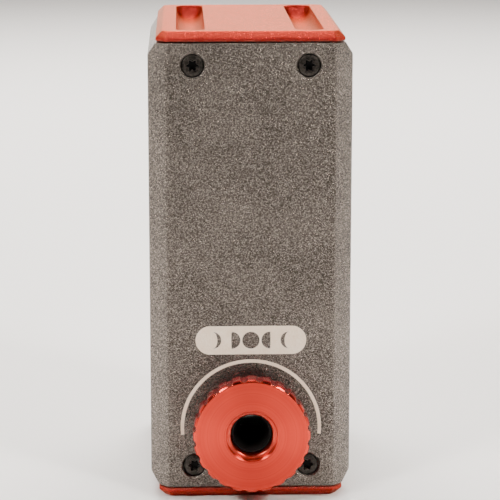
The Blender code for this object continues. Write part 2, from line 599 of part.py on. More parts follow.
def make_cooler():
    """Back plate, cold finger, foam, the Peltier module and the heat sink behind it."""
    hole = COLD_SIDE + 2 * COLD_PLAY
    plate_front = CHAMBER_REAR + GAP
    plate_back = plate_front + BACK_PLATE
    width, _, height = CHAMBER_SIZE
    plate = square_collar("chamber_back", width, height, hole, plate_front, plate_back, CHAMBER_Z,
                          BLACK_PLASTIC)
    plate_holes = [(x, plate_front, z) for x, z in CHAMBER_SCREW_PLACES]
    cut(plate, rods("plate_holes", CHAMBER_SCREW_SHANK + GAP, 3 * BACK_PLATE, plate_holes, sides=8))
    mesh = screw_mesh(CHAMBER_SCREW_HEAD, CHAMBER_SCREW_HEIGHT, CHAMBER_SCREW_SHANK, 5 * MM, 0.9 * MM, 8)
    heads = plate_back + GAP
    screws("chamber_screw", mesh, heads + CHAMBER_SCREW_HEIGHT, CHAMBER_SCREW_PLACES, FACE_BACK)
    cold_front = SENSOR_BOARD_Y + SENSOR_BOARD_SIZE[1] / 2 + GAP
    cold_back = cold_front + COLD_LENGTH
    finger_size = (COLD_SIDE, COLD_LENGTH, COLD_SIDE)
    block("cold_finger", finger_size, (0, cold_front + COLD_LENGTH / 2, AXIS_Z), COPPER, 0.3 * MM)
    square_collar("insulation_collar", FOAM_SIDE, FOAM_SIDE, hole, heads, cold_back, AXIS_Z, GREY_FOAM)
    sink_front = make_peltier(cold_back + GAP) + GAP
    make_heat_sink(sink_front)


def make_peltier(front):
    """Two ceramic plates held apart by a grid of pellets; gives the plane of its hot face."""
    plate_size = (PELTIER_SIDE, PELTIER_PLATE, PELTIER_SIDE)
    back = front + 2 * PELTIER_PLATE + PELLET
    module = block("peltier_module", plate_size, (0, front + PELTIER_PLATE / 2, AXIS_Z), WHITE_CERAMIC)
    join(module, block("hot_plate", plate_size, (0, back - PELTIER_PLATE / 2, AXIS_Z)))
    pellet_size = (PELLET, PELLET + PELTIER_PLATE, PELLET)
    middle = (front + back) / 2
    pellets = [(pellet_size, (i * PELLET_PITCH, middle, AXIS_Z + k * PELLET_PITCH))
               for i in range(-2, 3) for k in range(-2, 3)]
    join(module, blocks("pellets", pellets))
    return back


def make_heat_sink(front):
    """A block with slots sawn down it, and a plain foot that reaches down behind the Peltier module."""
    middle = (front + SINK_REAR) / 2
    size = (SINK_WIDTH, SINK_REAR - front, SINK_HIGH - SINK_LOW)
    sink = block("heat_sink", size, (0, middle, (SINK_LOW + SINK_HIGH) / 2), BARE_ALUMINIUM)
    slot_depth = SINK_REAR - front - SINK_BASE + MM
    slot_y = SINK_REAR + MM - slot_depth / 2
    cut(sink, block("below_fins", (SINK_WIDTH * 1.2, slot_depth, 2 * (FIN_LOW - SINK_LOW)),
                    (0, slot_y, SINK_LOW)))
    pitch = (SINK_WIDTH - FIN_THICKNESS) / (FIN_COUNT - 1)
    slot_size = (pitch - FIN_THICKNESS, slot_depth, SINK_HIGH * 1.5)
    slots = [(slot_size, ((i - FIN_COUNT / 2 + 1) * pitch, slot_y, SINK_HIGH / 2)) for i in range(FIN_COUNT - 1)]
    cut(sink, blocks("sink_slots", slots))


# ---- fan ----------------------------------------------------------------------------------------
def make_fan():
    middle = (FAN_FRONT + FAN_REAR) / 2
    frame = block("fan_frame", (FAN_SIZE, FAN_DEPTH, FAN_SIZE), (0, middle, FAN_Z), BLACK_PLASTIC, 0.6 * MM)
    cut(frame, rods("fan_tunnel", FAN_TUNNEL, FAN_DEPTH * 2, [(0, middle, FAN_Z)], sides=40))
    holes = [(x, middle, z) for x, z in FAN_SCREW_PLACES]
    cut(frame, rods("frame_holes", FAN_SCREW_SHANK + GAP, FAN_DEPTH * 2, holes, sides=8))
    arm_y = FAN_FRONT + FAN_ARM / 2
    for name, size in (("arm_across", (FAN_SIZE * 0.95, FAN_ARM, 2 * FAN_ARM)),
                       ("arm_upright", (2 * FAN_ARM, FAN_ARM, FAN_SIZE * 0.95))):
        join(frame, block(name, size, (0, arm_y, FAN_Z)))
    seat_back = FAN_FRONT + MOTOR_SEAT
    join(frame, rod_between("motor_seat", HUB_RADIUS, FAN_FRONT, seat_back, 0, FAN_Z, sides=24))
    stator_front = seat_back + GAP
    stator = washer_profile(STATOR_RADIUS, STATOR_BORE, STATOR_HEIGHT, 0)
    turned("fan_stator", stator, COPPER, (0, stator_front, FAN_Z), FACE_BACK, 20)
    make_rotor(stator_front + GAP, FAN_REAR - 0.8 * MM)
    mesh = screw_mesh(FAN_SCREW_HEAD, FAN_SCREW_HEIGHT, FAN_SCREW_SHANK, 9 * MM, 1.1 * MM, 10)
    screws("fan_screw", mesh, REAR_Y - GAP, FAN_SCREW_PLACES, FACE_BACK)


def make_rotor(front, back):
    """A cup over the stator, its blades set at a slant, on a thin shaft."""
    depth = back - front
    shaft_hole = SHAFT_RADIUS + GAP
    profile = [(HUB_RADIUS, depth), (HUB_RADIUS, 0), (HUB_RADIUS - HUB_WALL, 0),
               (HUB_RADIUS - HUB_WALL, depth - HUB_WALL), (shaft_hole, depth - HUB_WALL), (shaft_hole, depth)]
    rotor = turned("fan_rotor", profile, BLACK_PLASTIC, (0, front, FAN_Z), FACE_BACK, 28)
    form = bmesh.new()
    root = HUB_RADIUS - HUB_WALL / 2
    for i in range(BLADE_COUNT):
        turn = Matrix.Rotation(2 * math.pi * i / BLADE_COUNT, 4, "Y")
        slant = Matrix.Rotation(BLADE_SLANT, 4, "X")
        out = Matrix.Translation(((root + BLADE_TIP) / 2, 0, 0))
        size = Matrix.Diagonal((BLADE_TIP - root, 0.9 * MM, BLADE_CHORD, 1))
        bmesh.ops.create_cube(form, size=1.0, matrix=turn @ out @ slant @ size)
    join(rotor, place("blades", mesh_from("blades", form), None, (0, (front + back) / 2, FAN_Z)))
    rod_between("fan_shaft", SHAFT_RADIUS, front, back - GAP, 0, FAN_Z, BRIGHT_STEEL, 12)


def make_fan_guard():
    """A round grille of rings joined by a cross, pressed into the rear face."""
    y = REAR_Y - GUARD_THICKNESS / 2 + GAP
    half = GUARD_THICKNESS / 2
    guard = None
    for i in range(GUARD_RINGS):
        outer = GUARD_RADIUS * (1 - i / GUARD_RINGS) + i * GUARD_BAND / GUARD_RINGS
        profile = washer_profile(outer, outer - GUARD_BAND, half, -half)
        name = "fan_guard" if guard is None else f"guard_ring_{i}"
        ring = turned(name, profile, BLACK_STEEL, (0, y, FAN_Z), steps=28)
        if guard is None:
            guard = ring
        else:
            join(guard, ring)
    for number, angle in enumerate((45, 135)):
        bar_size = (2 * GUARD_RADIUS - GUARD_BAND, 0.8 * GUARD_THICKNESS, GUARD_BAND)
        bar = block(f"guard_bar_{number}", bar_size, (0, 0, 0))
        bar.location = (0, y, FAN_Z)
        bar.rotation_euler = (0, math.radians(angle), 0)
        join(guard, bar)


# ---- electronics --------------------------------------------------------------------------------
def board(name, y, soldered_blocks):
    """A bored circuit board with what is soldered to it."""
    made = block(name, BOARD_SIZE, (0, y, BOARD_Z), BOARD_GREEN)
    join(made, blocks(name + "_chips", soldered_blocks))
    holes = [(x, y, z) for x, z in BOARD_HOLES]
    cut(made, rods(name + "_holes", BOLT_SHANK + GAP, 4 * BOARD_SIZE[1], holes, sides=8))
    return made


def on_board(board_y, side, sizes_and_places):
    """Blocks soldered to one side of a board: (width, thickness, height) at (x, z), half a millimetre sunk."""
    sunk = 0.5 * MM
    face = board_y + side * BOARD_SIZE[1] / 2
    placed = []
    for (width, thickness, height), (x, z) in sizes_and_places:
        size = (width * MM, thickness * MM + sunk, height * MM)
        placed.append((size, (x * MM, face + side * (size[1] / 2 - sunk), z * MM)))
    return placed


def make_boards():
    back = BOARD_SIZE[1] / 2 + GAP
    chips = [((14, 1.4, 14), (3, 80)), ((9, 1.1, 6), (-12, 90)), ((6, 1.1, 8), (13, 92)),
             ((RIBBON_WIDTH / MM + 2, 3, 3), (RIBBON_X / MM, 66))]
    board("processor_board", PROCESSOR_BOARD_Y, on_board(PROCESSOR_BOARD_Y, -1, chips))
    power = [((9, 6, 9), (-8, 74)), ((9, 6, 9), (4, 74)), ((7, 8, 7), (-8, 90)), ((12, 2, 8), (7, 91))]
    board("main_board", MAIN_BOARD_Y, on_board(MAIN_BOARD_Y, -1, power))
    low_y = PROCESSOR_BOARD_Y + back
    high_y = MAIN_BOARD_Y - back
    for number, (x, z) in enumerate(BOARD_HOLES, 1):
        profile = washer_profile(SPACER_RADIUS, BOLT_SHANK + GAP, high_y - low_y, 0)
        turned(f"board_spacer_{number}", profile, BRASS, (x, low_y, z), FACE_BACK, 10)
    mesh = screw_mesh(1.9 * MM, BOLT_HEAD_HEIGHT, BOLT_SHANK, BOLT_LENGTH, 1.0 * MM, 8)
    head_top = PROCESSOR_BOARD_Y - back - BOLT_HEAD_HEIGHT
    screws("board_bolt", mesh, head_top, BOARD_HOLES, FACE_FORWARD)


def make_sockets():
    """What reaches from the main board through the rear wall: data socket, power socket, light."""
    start = MAIN_BOARD_Y + BOARD_SIZE[1] / 2 + GAP
    end = REAR_Y - 0.2 * MM
    wall = 0.35 * MM
    floor = 4 * MM
    socket = block("data_socket", (USB_WIDTH, end - start, USB_HEIGHT), (0, (start + end) / 2, USB_Z),
                   BRIGHT_STEEL)
    hollow_size = (USB_WIDTH - 2 * wall, end - start, USB_HEIGHT - 2 * wall)
    cut(socket, block("data_hollow", hollow_size, (0, (start + end) / 2 + floor, USB_Z)))
    tongue_length = end - start - floor
    tongue_size = (0.7 * USB_WIDTH, tongue_length, 0.7 * MM)
    join(socket, block("data_tongue", tongue_size, (0, start + floor - MM + tongue_length / 2, USB_Z)))
    jack = rod_between("power_socket", JACK_RADIUS, start, end, 0, JACK_Z, BLACK_PLASTIC, 24)
    cut(jack, rod_between("power_bore", JACK_BORE, end - JACK_DEPTH, end + MM, 0, JACK_Z, sides=24))
    join(jack, rod_between("power_pin", MM, end - JACK_DEPTH - MM, end - 2 * MM, 0, JACK_Z, sides=12))
    rod_between("status_light", LIGHT_RADIUS, start, REAR_Y + GAP, 0, LIGHT_Z, CLEAR_LENS, 14)


def make_sensor_ribbon():
    """The flat cable from the sensor board up through the chamber's slot to the processor board."""
    low_z = AXIS_Z + SENSOR_BOARD_SIZE[2] / 2 + GAP
    plug_top = PROCESSOR_BOARD_Y - BOARD_SIZE[1] / 2
    half = RIBBON_THICKNESS / 2
    end_y = plug_top - 3 * MM - GAP - half
    route = [(SENSOR_BOARD_Y, low_z), (SENSOR_BOARD_Y, 34 * MM), (-16 * MM, 42 * MM), (-12 * MM, 50 * MM),
             (-7 * MM, 56 * MM), (end_y - 0.5 * MM, 61 * MM), (end_y, 67 * MM)]
    path = smooth_route([Vector((0, y, z)) for y, z in route], 4)
    outline = []
    for side in (1, -1):
        ordered = path if side > 0 else path[::-1]
        for i, point in enumerate(ordered):
            along = ordered[min(i + 1, len(ordered) - 1)] - ordered[max(i - 1, 0)]
            across = Vector((0, along.z, -along.y)).normalized() * half
            outline.append((point.y + across.y, point.z + across.z))
    ribbon = outline_prism("sensor_ribbon", outline, RIBBON_WIDTH, AMBER_FILM)
    ribbon.data.transform(Matrix(((0, 0, 1, RIBBON_X), (1, 0, 0, 0), (0, 1, 0, 0), (0, 0, 0, 1))))


def smooth_route(points, per_span):
    """Catmull-Rom points through a hand-chosen route."""
    ends = [points[0], *points, points[-1]]
    route = []
    for a, b, c, d in zip(ends, ends[1:], ends[2:], ends[3:]):
        for step in range(per_span):
            t = step / per_span
            bend = (2 * a - 5 * b + 4 * c - d) * t * t + (3 * b - a - 3 * c + d) * t ** 3
            route.append(0.5 * (2 * b + (c - a) * t + bend))
    return [*route, points[-1]]


make_front_shell()
make_rear_shell()
make_caps()
make_housing_fixings()
make_knurled_ring()
make_ring_keepers()
make_focus_barrel()
make_chamber()
make_sensor()
make_cooler()
make_fan()
make_fan_guard()
make_boards()
make_sockets()
make_sensor_ribbon()
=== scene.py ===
import math

import bmesh
import bpy
import numpy as np
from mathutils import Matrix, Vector


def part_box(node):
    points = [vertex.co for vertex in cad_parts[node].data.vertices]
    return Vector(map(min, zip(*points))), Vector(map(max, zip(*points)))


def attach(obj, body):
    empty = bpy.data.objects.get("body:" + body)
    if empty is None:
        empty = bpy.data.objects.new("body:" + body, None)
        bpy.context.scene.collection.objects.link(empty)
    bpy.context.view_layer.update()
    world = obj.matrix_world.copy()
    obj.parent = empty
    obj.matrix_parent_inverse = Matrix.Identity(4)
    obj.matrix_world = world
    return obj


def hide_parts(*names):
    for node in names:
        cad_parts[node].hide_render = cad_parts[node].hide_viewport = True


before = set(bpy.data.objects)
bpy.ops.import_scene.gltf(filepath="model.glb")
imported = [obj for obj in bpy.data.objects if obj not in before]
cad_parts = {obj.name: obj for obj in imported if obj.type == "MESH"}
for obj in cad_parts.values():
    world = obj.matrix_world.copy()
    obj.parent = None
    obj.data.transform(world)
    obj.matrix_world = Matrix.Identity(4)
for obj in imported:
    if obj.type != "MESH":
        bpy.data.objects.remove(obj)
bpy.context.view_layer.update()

MM = 0.001


# ---- Housing shells ----
# Two C-shaped halves of aluminium, milled, bead-blasted and anodised grey, which meet at a seam
# down the middle of each side. Their upright edges are cut at 45 degrees, each side leans in where
# it meets an end cap, and the screws sit in counterbores.
_, shell_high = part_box("rear_shell")
HALF_WIDTH, HALF_DEPTH = shell_high.x, shell_high.y
SHELL_LOW, SHELL_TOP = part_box("front_shell")[0].z, shell_high.z
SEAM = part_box("rear_shell")[0].y
UPRIGHT_CUT = 4.4 * MM  # 45 degree cut down the upright edges
LEAN_X, LEAN_Z = 2.0 * MM, 3.1 * MM  # how far the sides lean in at their ends
SIDE_WALL, FACE_WALL = 2.5 * MM, 3.0 * MM
INNER_CUT = 2.6 * MM
EDGE_BREAK = 0.18 * MM
EDGE_ROUND = 0.45 * MM
SEAM_ROUND = 0.12 * MM
POCKET_RADIUS, POCKET_DEPTH, POCKET_RIM = 2.9 * MM, 2.2 * MM, 0.42 * MM
SCREW_HOLE = 1.8 * MM
RING_PORT = 10.8 * MM
CUTTER_SPARE = 1.0 * MM
CUTTER_DEPTH = 7.0 * MM
GUARD_SEAT, GUARD_SEAT_DEPTH, FAN_PORT = 19.2 * MM, 1.2 * MM, 18.6 * MM
FAN_POCKET_RADIUS, FAN_POCKET_DEPTH, FAN_HOLE = 2.6 * MM, 1.7 * MM, 1.4 * MM
DATA_PORT_RADIUS, DATA_PORT_HALF = 1.95 * MM, 2.85 * MM
POWER_PORT, LIGHT_PORT = 4.7 * MM, 1.8 * MM
VENT_PITCH, VENT_COUNT, VENT_RADIUS, VENT_HALF = 5.0 * MM, 7, 1.0 * MM, 7.5 * MM
VENT_Y = 11.5 * MM
BOSS_ROUND = 2.5 * MM
BOSS_THREAD, THREAD_END = 1.3 * MM, 8 * MM
BOARD_PLAY = 0.3 * MM
# The three directions of a round piece: across, up its face, and out along its axis.
FRONT = np.array([(1, 0, 0), (0, 0, 1), (0, -1, 0)], float)
REAR = np.array([(1, 0, 0), (0, 0, 1), (0, 1, 0)], float)
UP = np.array([(1, 0, 0), (0, 1, 0), (0, 0, 1)], float)
UP_LENGTHWISE = np.array([(0, 1, 0), (1, 0, 0), (0, 0, 1)], float)
SIDEWAYS = np.array([(0, 1, 0), (0, 0, 1), (1, 0, 0)], float)
FRONT_UPRIGHT = np.array([(0, 0, 1), (1, 0, 0), (0, -1, 0)], float)


def middle_of(node):
    """The middle of a node's box."""
    low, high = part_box(node)
    return np.array((low + high) / 2)


def half_of(node):
    """Half the size of a node's box."""
    low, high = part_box(node)
    return (np.array(high, float) - np.array(low, float)) / 2


def softened(corners, reach, steps=5):
    """A line whose inner corners are swapped for short curves.
    Each curve leaves `reach` before its corner C and ends that far past it:
    (1-s)^2 A + 2 s (1-s) C + s^2 B."""
    corners = np.asarray(corners, float)
    before, at, after = corners[:-2], corners[1:-1], corners[2:]
    reach = np.broadcast_to(reach, len(at))[:, None]
    s = np.linspace(0, 1, steps)[None, :, None]
    toward = [at + (other - at) * (reach / np.linalg.norm(other - at, axis=1, keepdims=True))
              for other in (before, after)]
    bend = (1 - s) ** 2 * toward[0][:, None] + 2 * s * (1 - s) * at[:, None] + s ** 2 * toward[1][:, None]
    return np.concatenate([corners[:1], bend.reshape(-1, corners.shape[1]), corners[-1:]])


def softened_loop(corners, reach, steps=5):
    """The same on a closed outline."""
    return softened([corners[-1], *corners, corners[0]], reach, steps)[1:-1]


def rod(radius, low, high):
    """The profile of a plain cylinder between two heights."""
    return [(0, low), (radius, low), (radius, high), (0, high)]


def skin(name, points, rows_close=False, lids=True, smooth_angle=35):
    """A mesh over a grid of points, rows by columns: each four neighbours make a face, the last
    column joins the first, closed rows do the same, and lids fill the first and last rows."""
    rows, columns = points.shape[:2]
    index = np.arange(rows * columns).reshape(rows, columns)
    if rows_close:
        index = np.concatenate([index, index[:1]])
    index = np.concatenate([index, index[:, :1]], axis=1)
    faces = np.stack([index[:-1, :-1], index[:-1, 1:], index[1:, 1:], index[1:, :-1]], -1)
    faces = faces.reshape(-1, 4).tolist()
    if lids:
        faces += [index[0, :columns].tolist(), index[-1, :columns].tolist()]
    mesh = bpy.data.meshes.new(name)
    mesh.from_pydata(points.reshape(-1, 3).tolist(), [], faces)
    form = bmesh.new()
    form.from_mesh(mesh)
    bmesh.ops.remove_doubles(form, verts=form.verts[:], dist=0.001 * MM)
    bmesh.ops.recalc_face_normals(form, faces=form.faces[:])
    form.to_mesh(mesh)
    form.free()
    mesh.shade_smooth()
    mesh.set_sharp_from_angle(angle=math.radians(smooth_angle))
    return mesh


def spun(profile, place, facing, steps=64, stretch=0.0):
    """Points round an axis: place + across * r cos a + up * r sin a + out * h, for a profile of
    (r, h). Stretch pulls the two halves apart along `across`, so that circles become slots."""
    radius, height = (np.asarray(line, float) for line in zip(*profile))
    angle = (np.arange(steps) + 0.5) * 2 * math.pi / steps
    across = radius[:, None] * np.cos(angle) + stretch * np.sign(np.cos(angle))
    up = radius[:, None] * np.sin(angle)
    out = np.broadcast_to(height[:, None], up.shape)
    return np.asarray(place, float) + np.stack([across, up, out], -1) @ facing


def round_body(name, profile, place, facing, steps=64, stretch=0.0):
    """A closed turned solid, or a slot-shaped one."""
    return skin(name, spun(profile, place, facing, steps, stretch))


def turned(name, profile, place, facing, steps):
    """A turned solid whose profile begins and ends on its axis."""
    return skin(name, spun(profile, place, facing, steps), lids=False)


def tube(name, points, smooth_angle=35):
    """A body with a hole through it: its last row of points joins its first."""
    return skin(name, points, rows_close=True, lids=False, smooth_angle=smooth_angle)


def together(name, meshes):
    """Several meshes as one, which leaves each body of them separate."""
    form = bmesh.new()
    for mesh in meshes:
        form.from_mesh(mesh)
    made = bpy.data.meshes.new(name)
    form.to_mesh(made)
    form.free()
    return made


def machined(mesh, changes, smooth_angle=35):
    """A mesh after its Boolean changes, each an (operation, mesh) pair, one after another."""
    work = bpy.data.objects.new("work", mesh)
    tools = []
    bpy.context.scene.collection.objects.link(work)
    for operation, tool in changes:
        helper = bpy.data.objects.new("tool", tool)
        bpy.context.scene.collection.objects.link(helper)
        tools.append(helper)
        change = work.modifiers.new("change", "BOOLEAN")
        change.operation = operation
        change.object = helper
    done = bpy.data.meshes.new_from_object(work.evaluated_get(bpy.context.evaluated_depsgraph_get()))
    for used in [work, *tools]:
        bpy.data.objects.remove(used)
    done.name = mesh.name
    done.shade_smooth()
    done.set_sharp_from_angle(angle=math.radians(smooth_angle))
    return done


def counterbore(place, facing, radius, depth, hole, rim=EDGE_BREAK):
    """The space of a screw: a pocket with a broken rim, and the hole at the bottom of it."""
    return round_body("counterbore", [
        (0, CUTTER_SPARE), (radius + rim, CUTTER_SPARE), (radius + rim, 0), (radius, -rim),
        (radius, -depth + rim), (radius - rim, -depth), (hole, -depth), (hole, -CUTTER_DEPTH),
        (0, -CUTTER_DEPTH)], place, facing)


def port(place, facing, radius, stretch=0.0, deep=CUTTER_DEPTH):
    """A plain opening with a broken rim."""
    wide = radius + EDGE_BREAK
    return round_body("port", [(0, CUTTER_SPARE), (wide, CUTTER_SPARE), (wide, 0), (radius, -EDGE_BREAK),
                               (radius, -deep), (0, -deep)], place, facing, stretch=stretch)


def half_plan(half_width, inset):
    """One C-shaped plan, (across, outward): the outer line from seam to seam and the wall behind it."""
    w, d = half_width - inset, HALF_DEPTH - inset
    cut = UPRIGHT_CUT - (HALF_WIDTH - half_width)
    wi, di, ci = HALF_WIDTH - SIDE_WALL, HALF_DEPTH - FACE_WALL, INNER_CUT
    at_seam = np.isin(np.arange(12), (0, 5, 6, 11))
    return softened_loop([(-w, SEAM), (-w, d - cut), (-w + cut, d), (w - cut, d), (w, d - cut), (w, SEAM),
                          (wi, SEAM), (wi, di - ci), (wi - ci, di), (-wi + ci, di), (-wi, di - ci),
                          (-wi, SEAM)], np.where(at_seam, SEAM_ROUND, EDGE_ROUND))


def shell_half(name, outward):
    """The plan carried up the housing, its half width following the leaning ends."""
    end = HALF_WIDTH - LEAN_X
    line = softened([(SHELL_LOW, end), (SHELL_LOW + LEAN_Z, HALF_WIDTH), (SHELL_TOP - LEAN_Z, HALF_WIDTH),
                     (SHELL_TOP, end)], EDGE_ROUND)
    heights = np.concatenate([[SHELL_LOW, SHELL_LOW + EDGE_BREAK], line[1:-1, 0],
                              [SHELL_TOP - EDGE_BREAK, SHELL_TOP]])
    widths = np.interp(heights, line[:, 0], line[:, 1])
    insets = np.zeros(len(heights))
    insets[[0, -1]] = EDGE_BREAK
    plans = [half_plan(width, inset) for width, inset in zip(widths, insets)]
    rows = [np.column_stack([plan[:, 0], outward * plan[:, 1], np.full(len(plan), z)])
            for plan, z in zip(plans, heights)]
    return skin(name, np.stack(rows))


def wire(tree, kind, inputs=None, **settings):
    """Adds a node; an input whose value is a socket is linked to it."""
    made = tree.nodes.new(kind)
    for key, value in settings.items():
        setattr(made, key, value)
    for socket, value in (inputs or {}).items():
        if isinstance(value, bpy.types.NodeSocket):
            tree.links.new(value, made.inputs[socket])
        else:
            made.inputs[socket].default_value = value
    return made


def maths(tree, operation, *values):
    """A Math node's result."""
    return wire(tree, "ShaderNodeMath", dict(enumerate(values)), operation=operation).outputs[0]


def times(tree, first, second):
    """The product of two values."""
    return maths(tree, "MULTIPLY", first, second)


def spread(tree, value, low, high, to_low, to_high):
    """A value stretched from one range to another and clamped."""
    ranges = {"Value": value, "From Min": low, "From Max": high, "To Min": to_low, "To Max": to_high}
    return wire(tree, "ShaderNodeMapRange", ranges).outputs[0]


def mixed(tree, factor, first, second):
    """Two colours, mixed by a mask; each is a socket, or red, green and blue."""
    first, second = (c if isinstance(c, bpy.types.NodeSocket) else (*c, 1) for c in (first, second))
    made = wire(tree, "ShaderNodeMix", {0: factor, 6: first, 7: second}, data_type="RGBA")
    return made.outputs[2]


def effect(name, inputs, outputs):
    """An empty shader node group, with its ends."""
    tree = bpy.data.node_groups.new(name, "ShaderNodeTree")
    for label, value in inputs.items():
        kind = "NodeSocketVector" if value is None else "NodeSocketFloat"
        socket = tree.interface.new_socket(label, in_out="INPUT", socket_type=kind)
        if value is not None:
            socket.default_value = value
    for label in outputs:
        tree.interface.new_socket(label, in_out="OUTPUT", socket_type="NodeSocketFloat")
    return tree, tree.nodes.new("NodeGroupInput").outputs, tree.nodes.new("NodeGroupOutput").inputs


def blast_grain():
    """Bead-blast grain: a random brightness for each dent, and rounded dents for the bump."""
    tree, given, result = effect("blast_grain", {"Vector": None, "Scale": 2600.0}, ["Sparkle", "Height"])
    cells = wire(tree, "ShaderNodeTexVoronoi", {"Vector": given["Vector"], "Scale": given["Scale"]})
    facet = wire(tree, "ShaderNodeSeparateColor", {0: cells.outputs["Color"]})
    noise = wire(tree, "ShaderNodeTexNoise", {
        "Vector": given["Vector"], "Scale": times(tree, given["Scale"], 1.5), "Detail": 3.0,
        "Roughness": 0.65})
    lit = times(tree, facet.outputs[0], spread(tree, noise.outputs["Fac"], 0.35, 0.65, 0.3, 1.6))
    tree.links.new(lit, result["Sparkle"])
    dent = times(tree, maths(tree, "POWER", cells.outputs["Distance"], 1.5), 0.6)
    relief = maths(tree, "ADD", dent, times(tree, noise.outputs["Fac"], 0.5))
    tree.links.new(relief, result["Height"])
    return tree


def edge_wear():
    """Where a surface turns sharply the finish is rubbed: a rounded normal is held against the true
    one."""
    tree, given, result = effect("edge_wear", {"Vector": None, "Width": 0.0003, "Scale": 900.0}, ["Mask"])
    rounded = wire(tree, "ShaderNodeBevel", {"Radius": given["Width"]}, samples=4)
    true = wire(tree, "ShaderNodeNewGeometry")
    agree = wire(tree, "ShaderNodeVectorMath", {0: rounded.outputs[0], 1: true.outputs["Normal"]},
                 operation="DOT_PRODUCT")
    turn = spread(tree, agree.outputs["Value"], 0.995, 0.9, 0.0, 1.0)
    noise = wire(tree, "ShaderNodeTexNoise", {
        "Vector": given["Vector"], "Scale": given["Scale"], "Detail": 4.0})
    patchy = spread(tree, noise.outputs["Fac"], 0.4, 0.65, 0.15, 1.0)
    tree.links.new(times(tree, turn, patchy), result["Mask"])
    return tree


BLAST_GRAIN = blast_grain()
EDGE_WEAR = edge_wear()
FINE, VERY_FINE = 0.00003, 0.00002  # the depth of most finishes' marks, in metres


class Finish:
    """A material under way: its tree, coordinates and shader, with the shader's constants set."""

    def __init__(self, name, constants=None, centre=None, turn=(0, 0, 0)):
        self.material = bpy.data.materials.new(name)
        self.material.use_nodes = True
        self.tree = self.material.node_tree
        self.shader = self.tree.nodes["Principled BSDF"]
        for label, value in (constants or {}).items():
            self.shader.inputs[label].default_value = value
        self.place = wire(self.tree, "ShaderNodeTexCoord").outputs["Object"]
        if centre is not None:
            moved = {"Vector": self.place, "Location": tuple(centre), "Rotation": turn}
            self.place = wire(self.tree, "ShaderNodeMapping", moved, vector_type="TEXTURE").outputs[0]

    def group(self, tree, **values):
        made = self.tree.nodes.new("ShaderNodeGroup")
        made.node_tree = tree
        self.tree.links.new(self.place, made.inputs["Vector"])
        for label, value in values.items():
            made.inputs[label].default_value = value
        return made.outputs

    def noise(self, scale, detail=3.0, stretch=(1, 1, 1)):
        """Noise from 0 to 1, finer along an axis whose stretch is larger."""
        sized = wire(self.tree, "ShaderNodeMapping", {"Vector": self.place, "Scale": stretch}).outputs[0]
        made = wire(self.tree, "ShaderNodeTexNoise", {"Vector": sized, "Scale": scale, "Detail": detail})
        return made.outputs["Fac"]

    def cloud(self, scale, detail=3.0, low=0.3, high=0.7, to_low=0.0, to_high=1.0, stretch=(1, 1, 1)):
        """Noise with its middle range stretched to a range of its own."""
        return spread(self.tree, self.noise(scale, detail, stretch), low, high, to_low, to_high)

    def bands(self, scale, axis):
        """Parallel bands across an axis, from 0 to 1."""
        return wire(self.tree, "ShaderNodeTexWave", {"Vector": self.place, "Scale": scale}, wave_type="BANDS",
                    bands_direction=axis).outputs["Fac"]

    def feed(self, socket, value):
        self.tree.links.new(value, self.shader.inputs[socket])

    def done(self, colour, roughness, height=None, depth=0.0):
        """Feeds the shader its colour, its roughness and a bump, and gives the material."""
        self.feed("Base Color", colour)
        self.feed("Roughness", roughness)
        if height is not None:
            bump = wire(self.tree, "ShaderNodeBump", {"Height": height, "Distance": depth, "Strength": 1.0})
            self.feed("Normal", bump.outputs[0])
        return self.material

    def two_tone(self, mask, first, second, smooth, rough, height=None, depth=0.0):
        """A finish whose colour and roughness both follow one mask."""
        roughness = spread(self.tree, mask, 0.0, 1.0, smooth, rough)
        return self.done(mixed(self.tree, mask, first, second), roughness, height, depth)


def anodised_blasted(name, dark, light, worn, roughness, grain, rarity, grazing=(1, 1, 1)):
    """Anodised, bead-blasted aluminium: dents of differing brightness, the brightest of them rare,
    rubbed lighter along edges."""
    made = Finish(name, {"Metallic": 1.0, "Specular Tint": (*grazing, 1)})
    tree = made.tree
    blast = made.group(BLAST_GRAIN, Scale=BLAST_SCALE)
    wear = made.group(EDGE_WEAR)["Mask"]
    cloud = made.cloud(60.0, 2.0, to_low=-0.06, to_high=0.06)
    lit = maths(tree, "POWER", spread(tree, blast["Sparkle"], 0.0, BRIGHTEST, 0.0, 1.0), rarity)
    colour = mixed(tree, maths(tree, "ADD", lit, cloud), dark, light)
    rough = spread(tree, blast["Sparkle"], 0.0, BRIGHTEST, roughness + 0.06, roughness - 0.08)
    return made.done(mixed(tree, times(tree, wear, 0.55), colour, worn),
                     maths(tree, "SUBTRACT", rough, times(tree, wear, 0.08)), blast["Height"], grain)


BLAST_SCALE = 4600.0  # dents to the metre
BRIGHTEST = 1.2  # the top of the blast grain's sparkle
GREY_ANODISED = anodised_blasted("grey_anodised_blasted", (0.062, 0.055, 0.049), (0.43, 0.373, 0.325),
                                 (0.80, 0.70, 0.61), 0.30, 0.00012, 1.5)


def fit(name, mesh, finish, slot, *nodes, body="housing"):
    """Puts a finished mesh on its body, in place of the CAD nodes that it stands for."""
    made = bpy.data.objects.new(name, mesh)
    bpy.context.scene.collection.objects.link(made)
    mesh.materials.clear()
    mesh.materials.append(finish)
    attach(made, body)
    if nodes:
        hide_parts(*nodes)
    return made


def face_points(prefix, y):
    """Where each of a face's four numbered screws sits."""
    middles = [middle_of(f"{prefix}_{i}") for i in range(1, 5)]
    return [(x, y, z) for x, _, z in middles]


ring_middle = middle_of("knurled_ring")
fan_middle = middle_of("fan_guard")
FRONT_SCREWS = face_points("front_screw", -HALF_DEPTH)
REAR_SCREWS = face_points("rear_screw", HALF_DEPTH)
FAN_SCREWS = face_points("fan_screw", HALF_DEPTH)


def screw_pockets(places, facing):
    """The counterbores of a shell's four screws."""
    return [counterbore(place, facing, POCKET_RADIUS, POCKET_DEPTH, SCREW_HOLE, POCKET_RIM)
            for place in places]


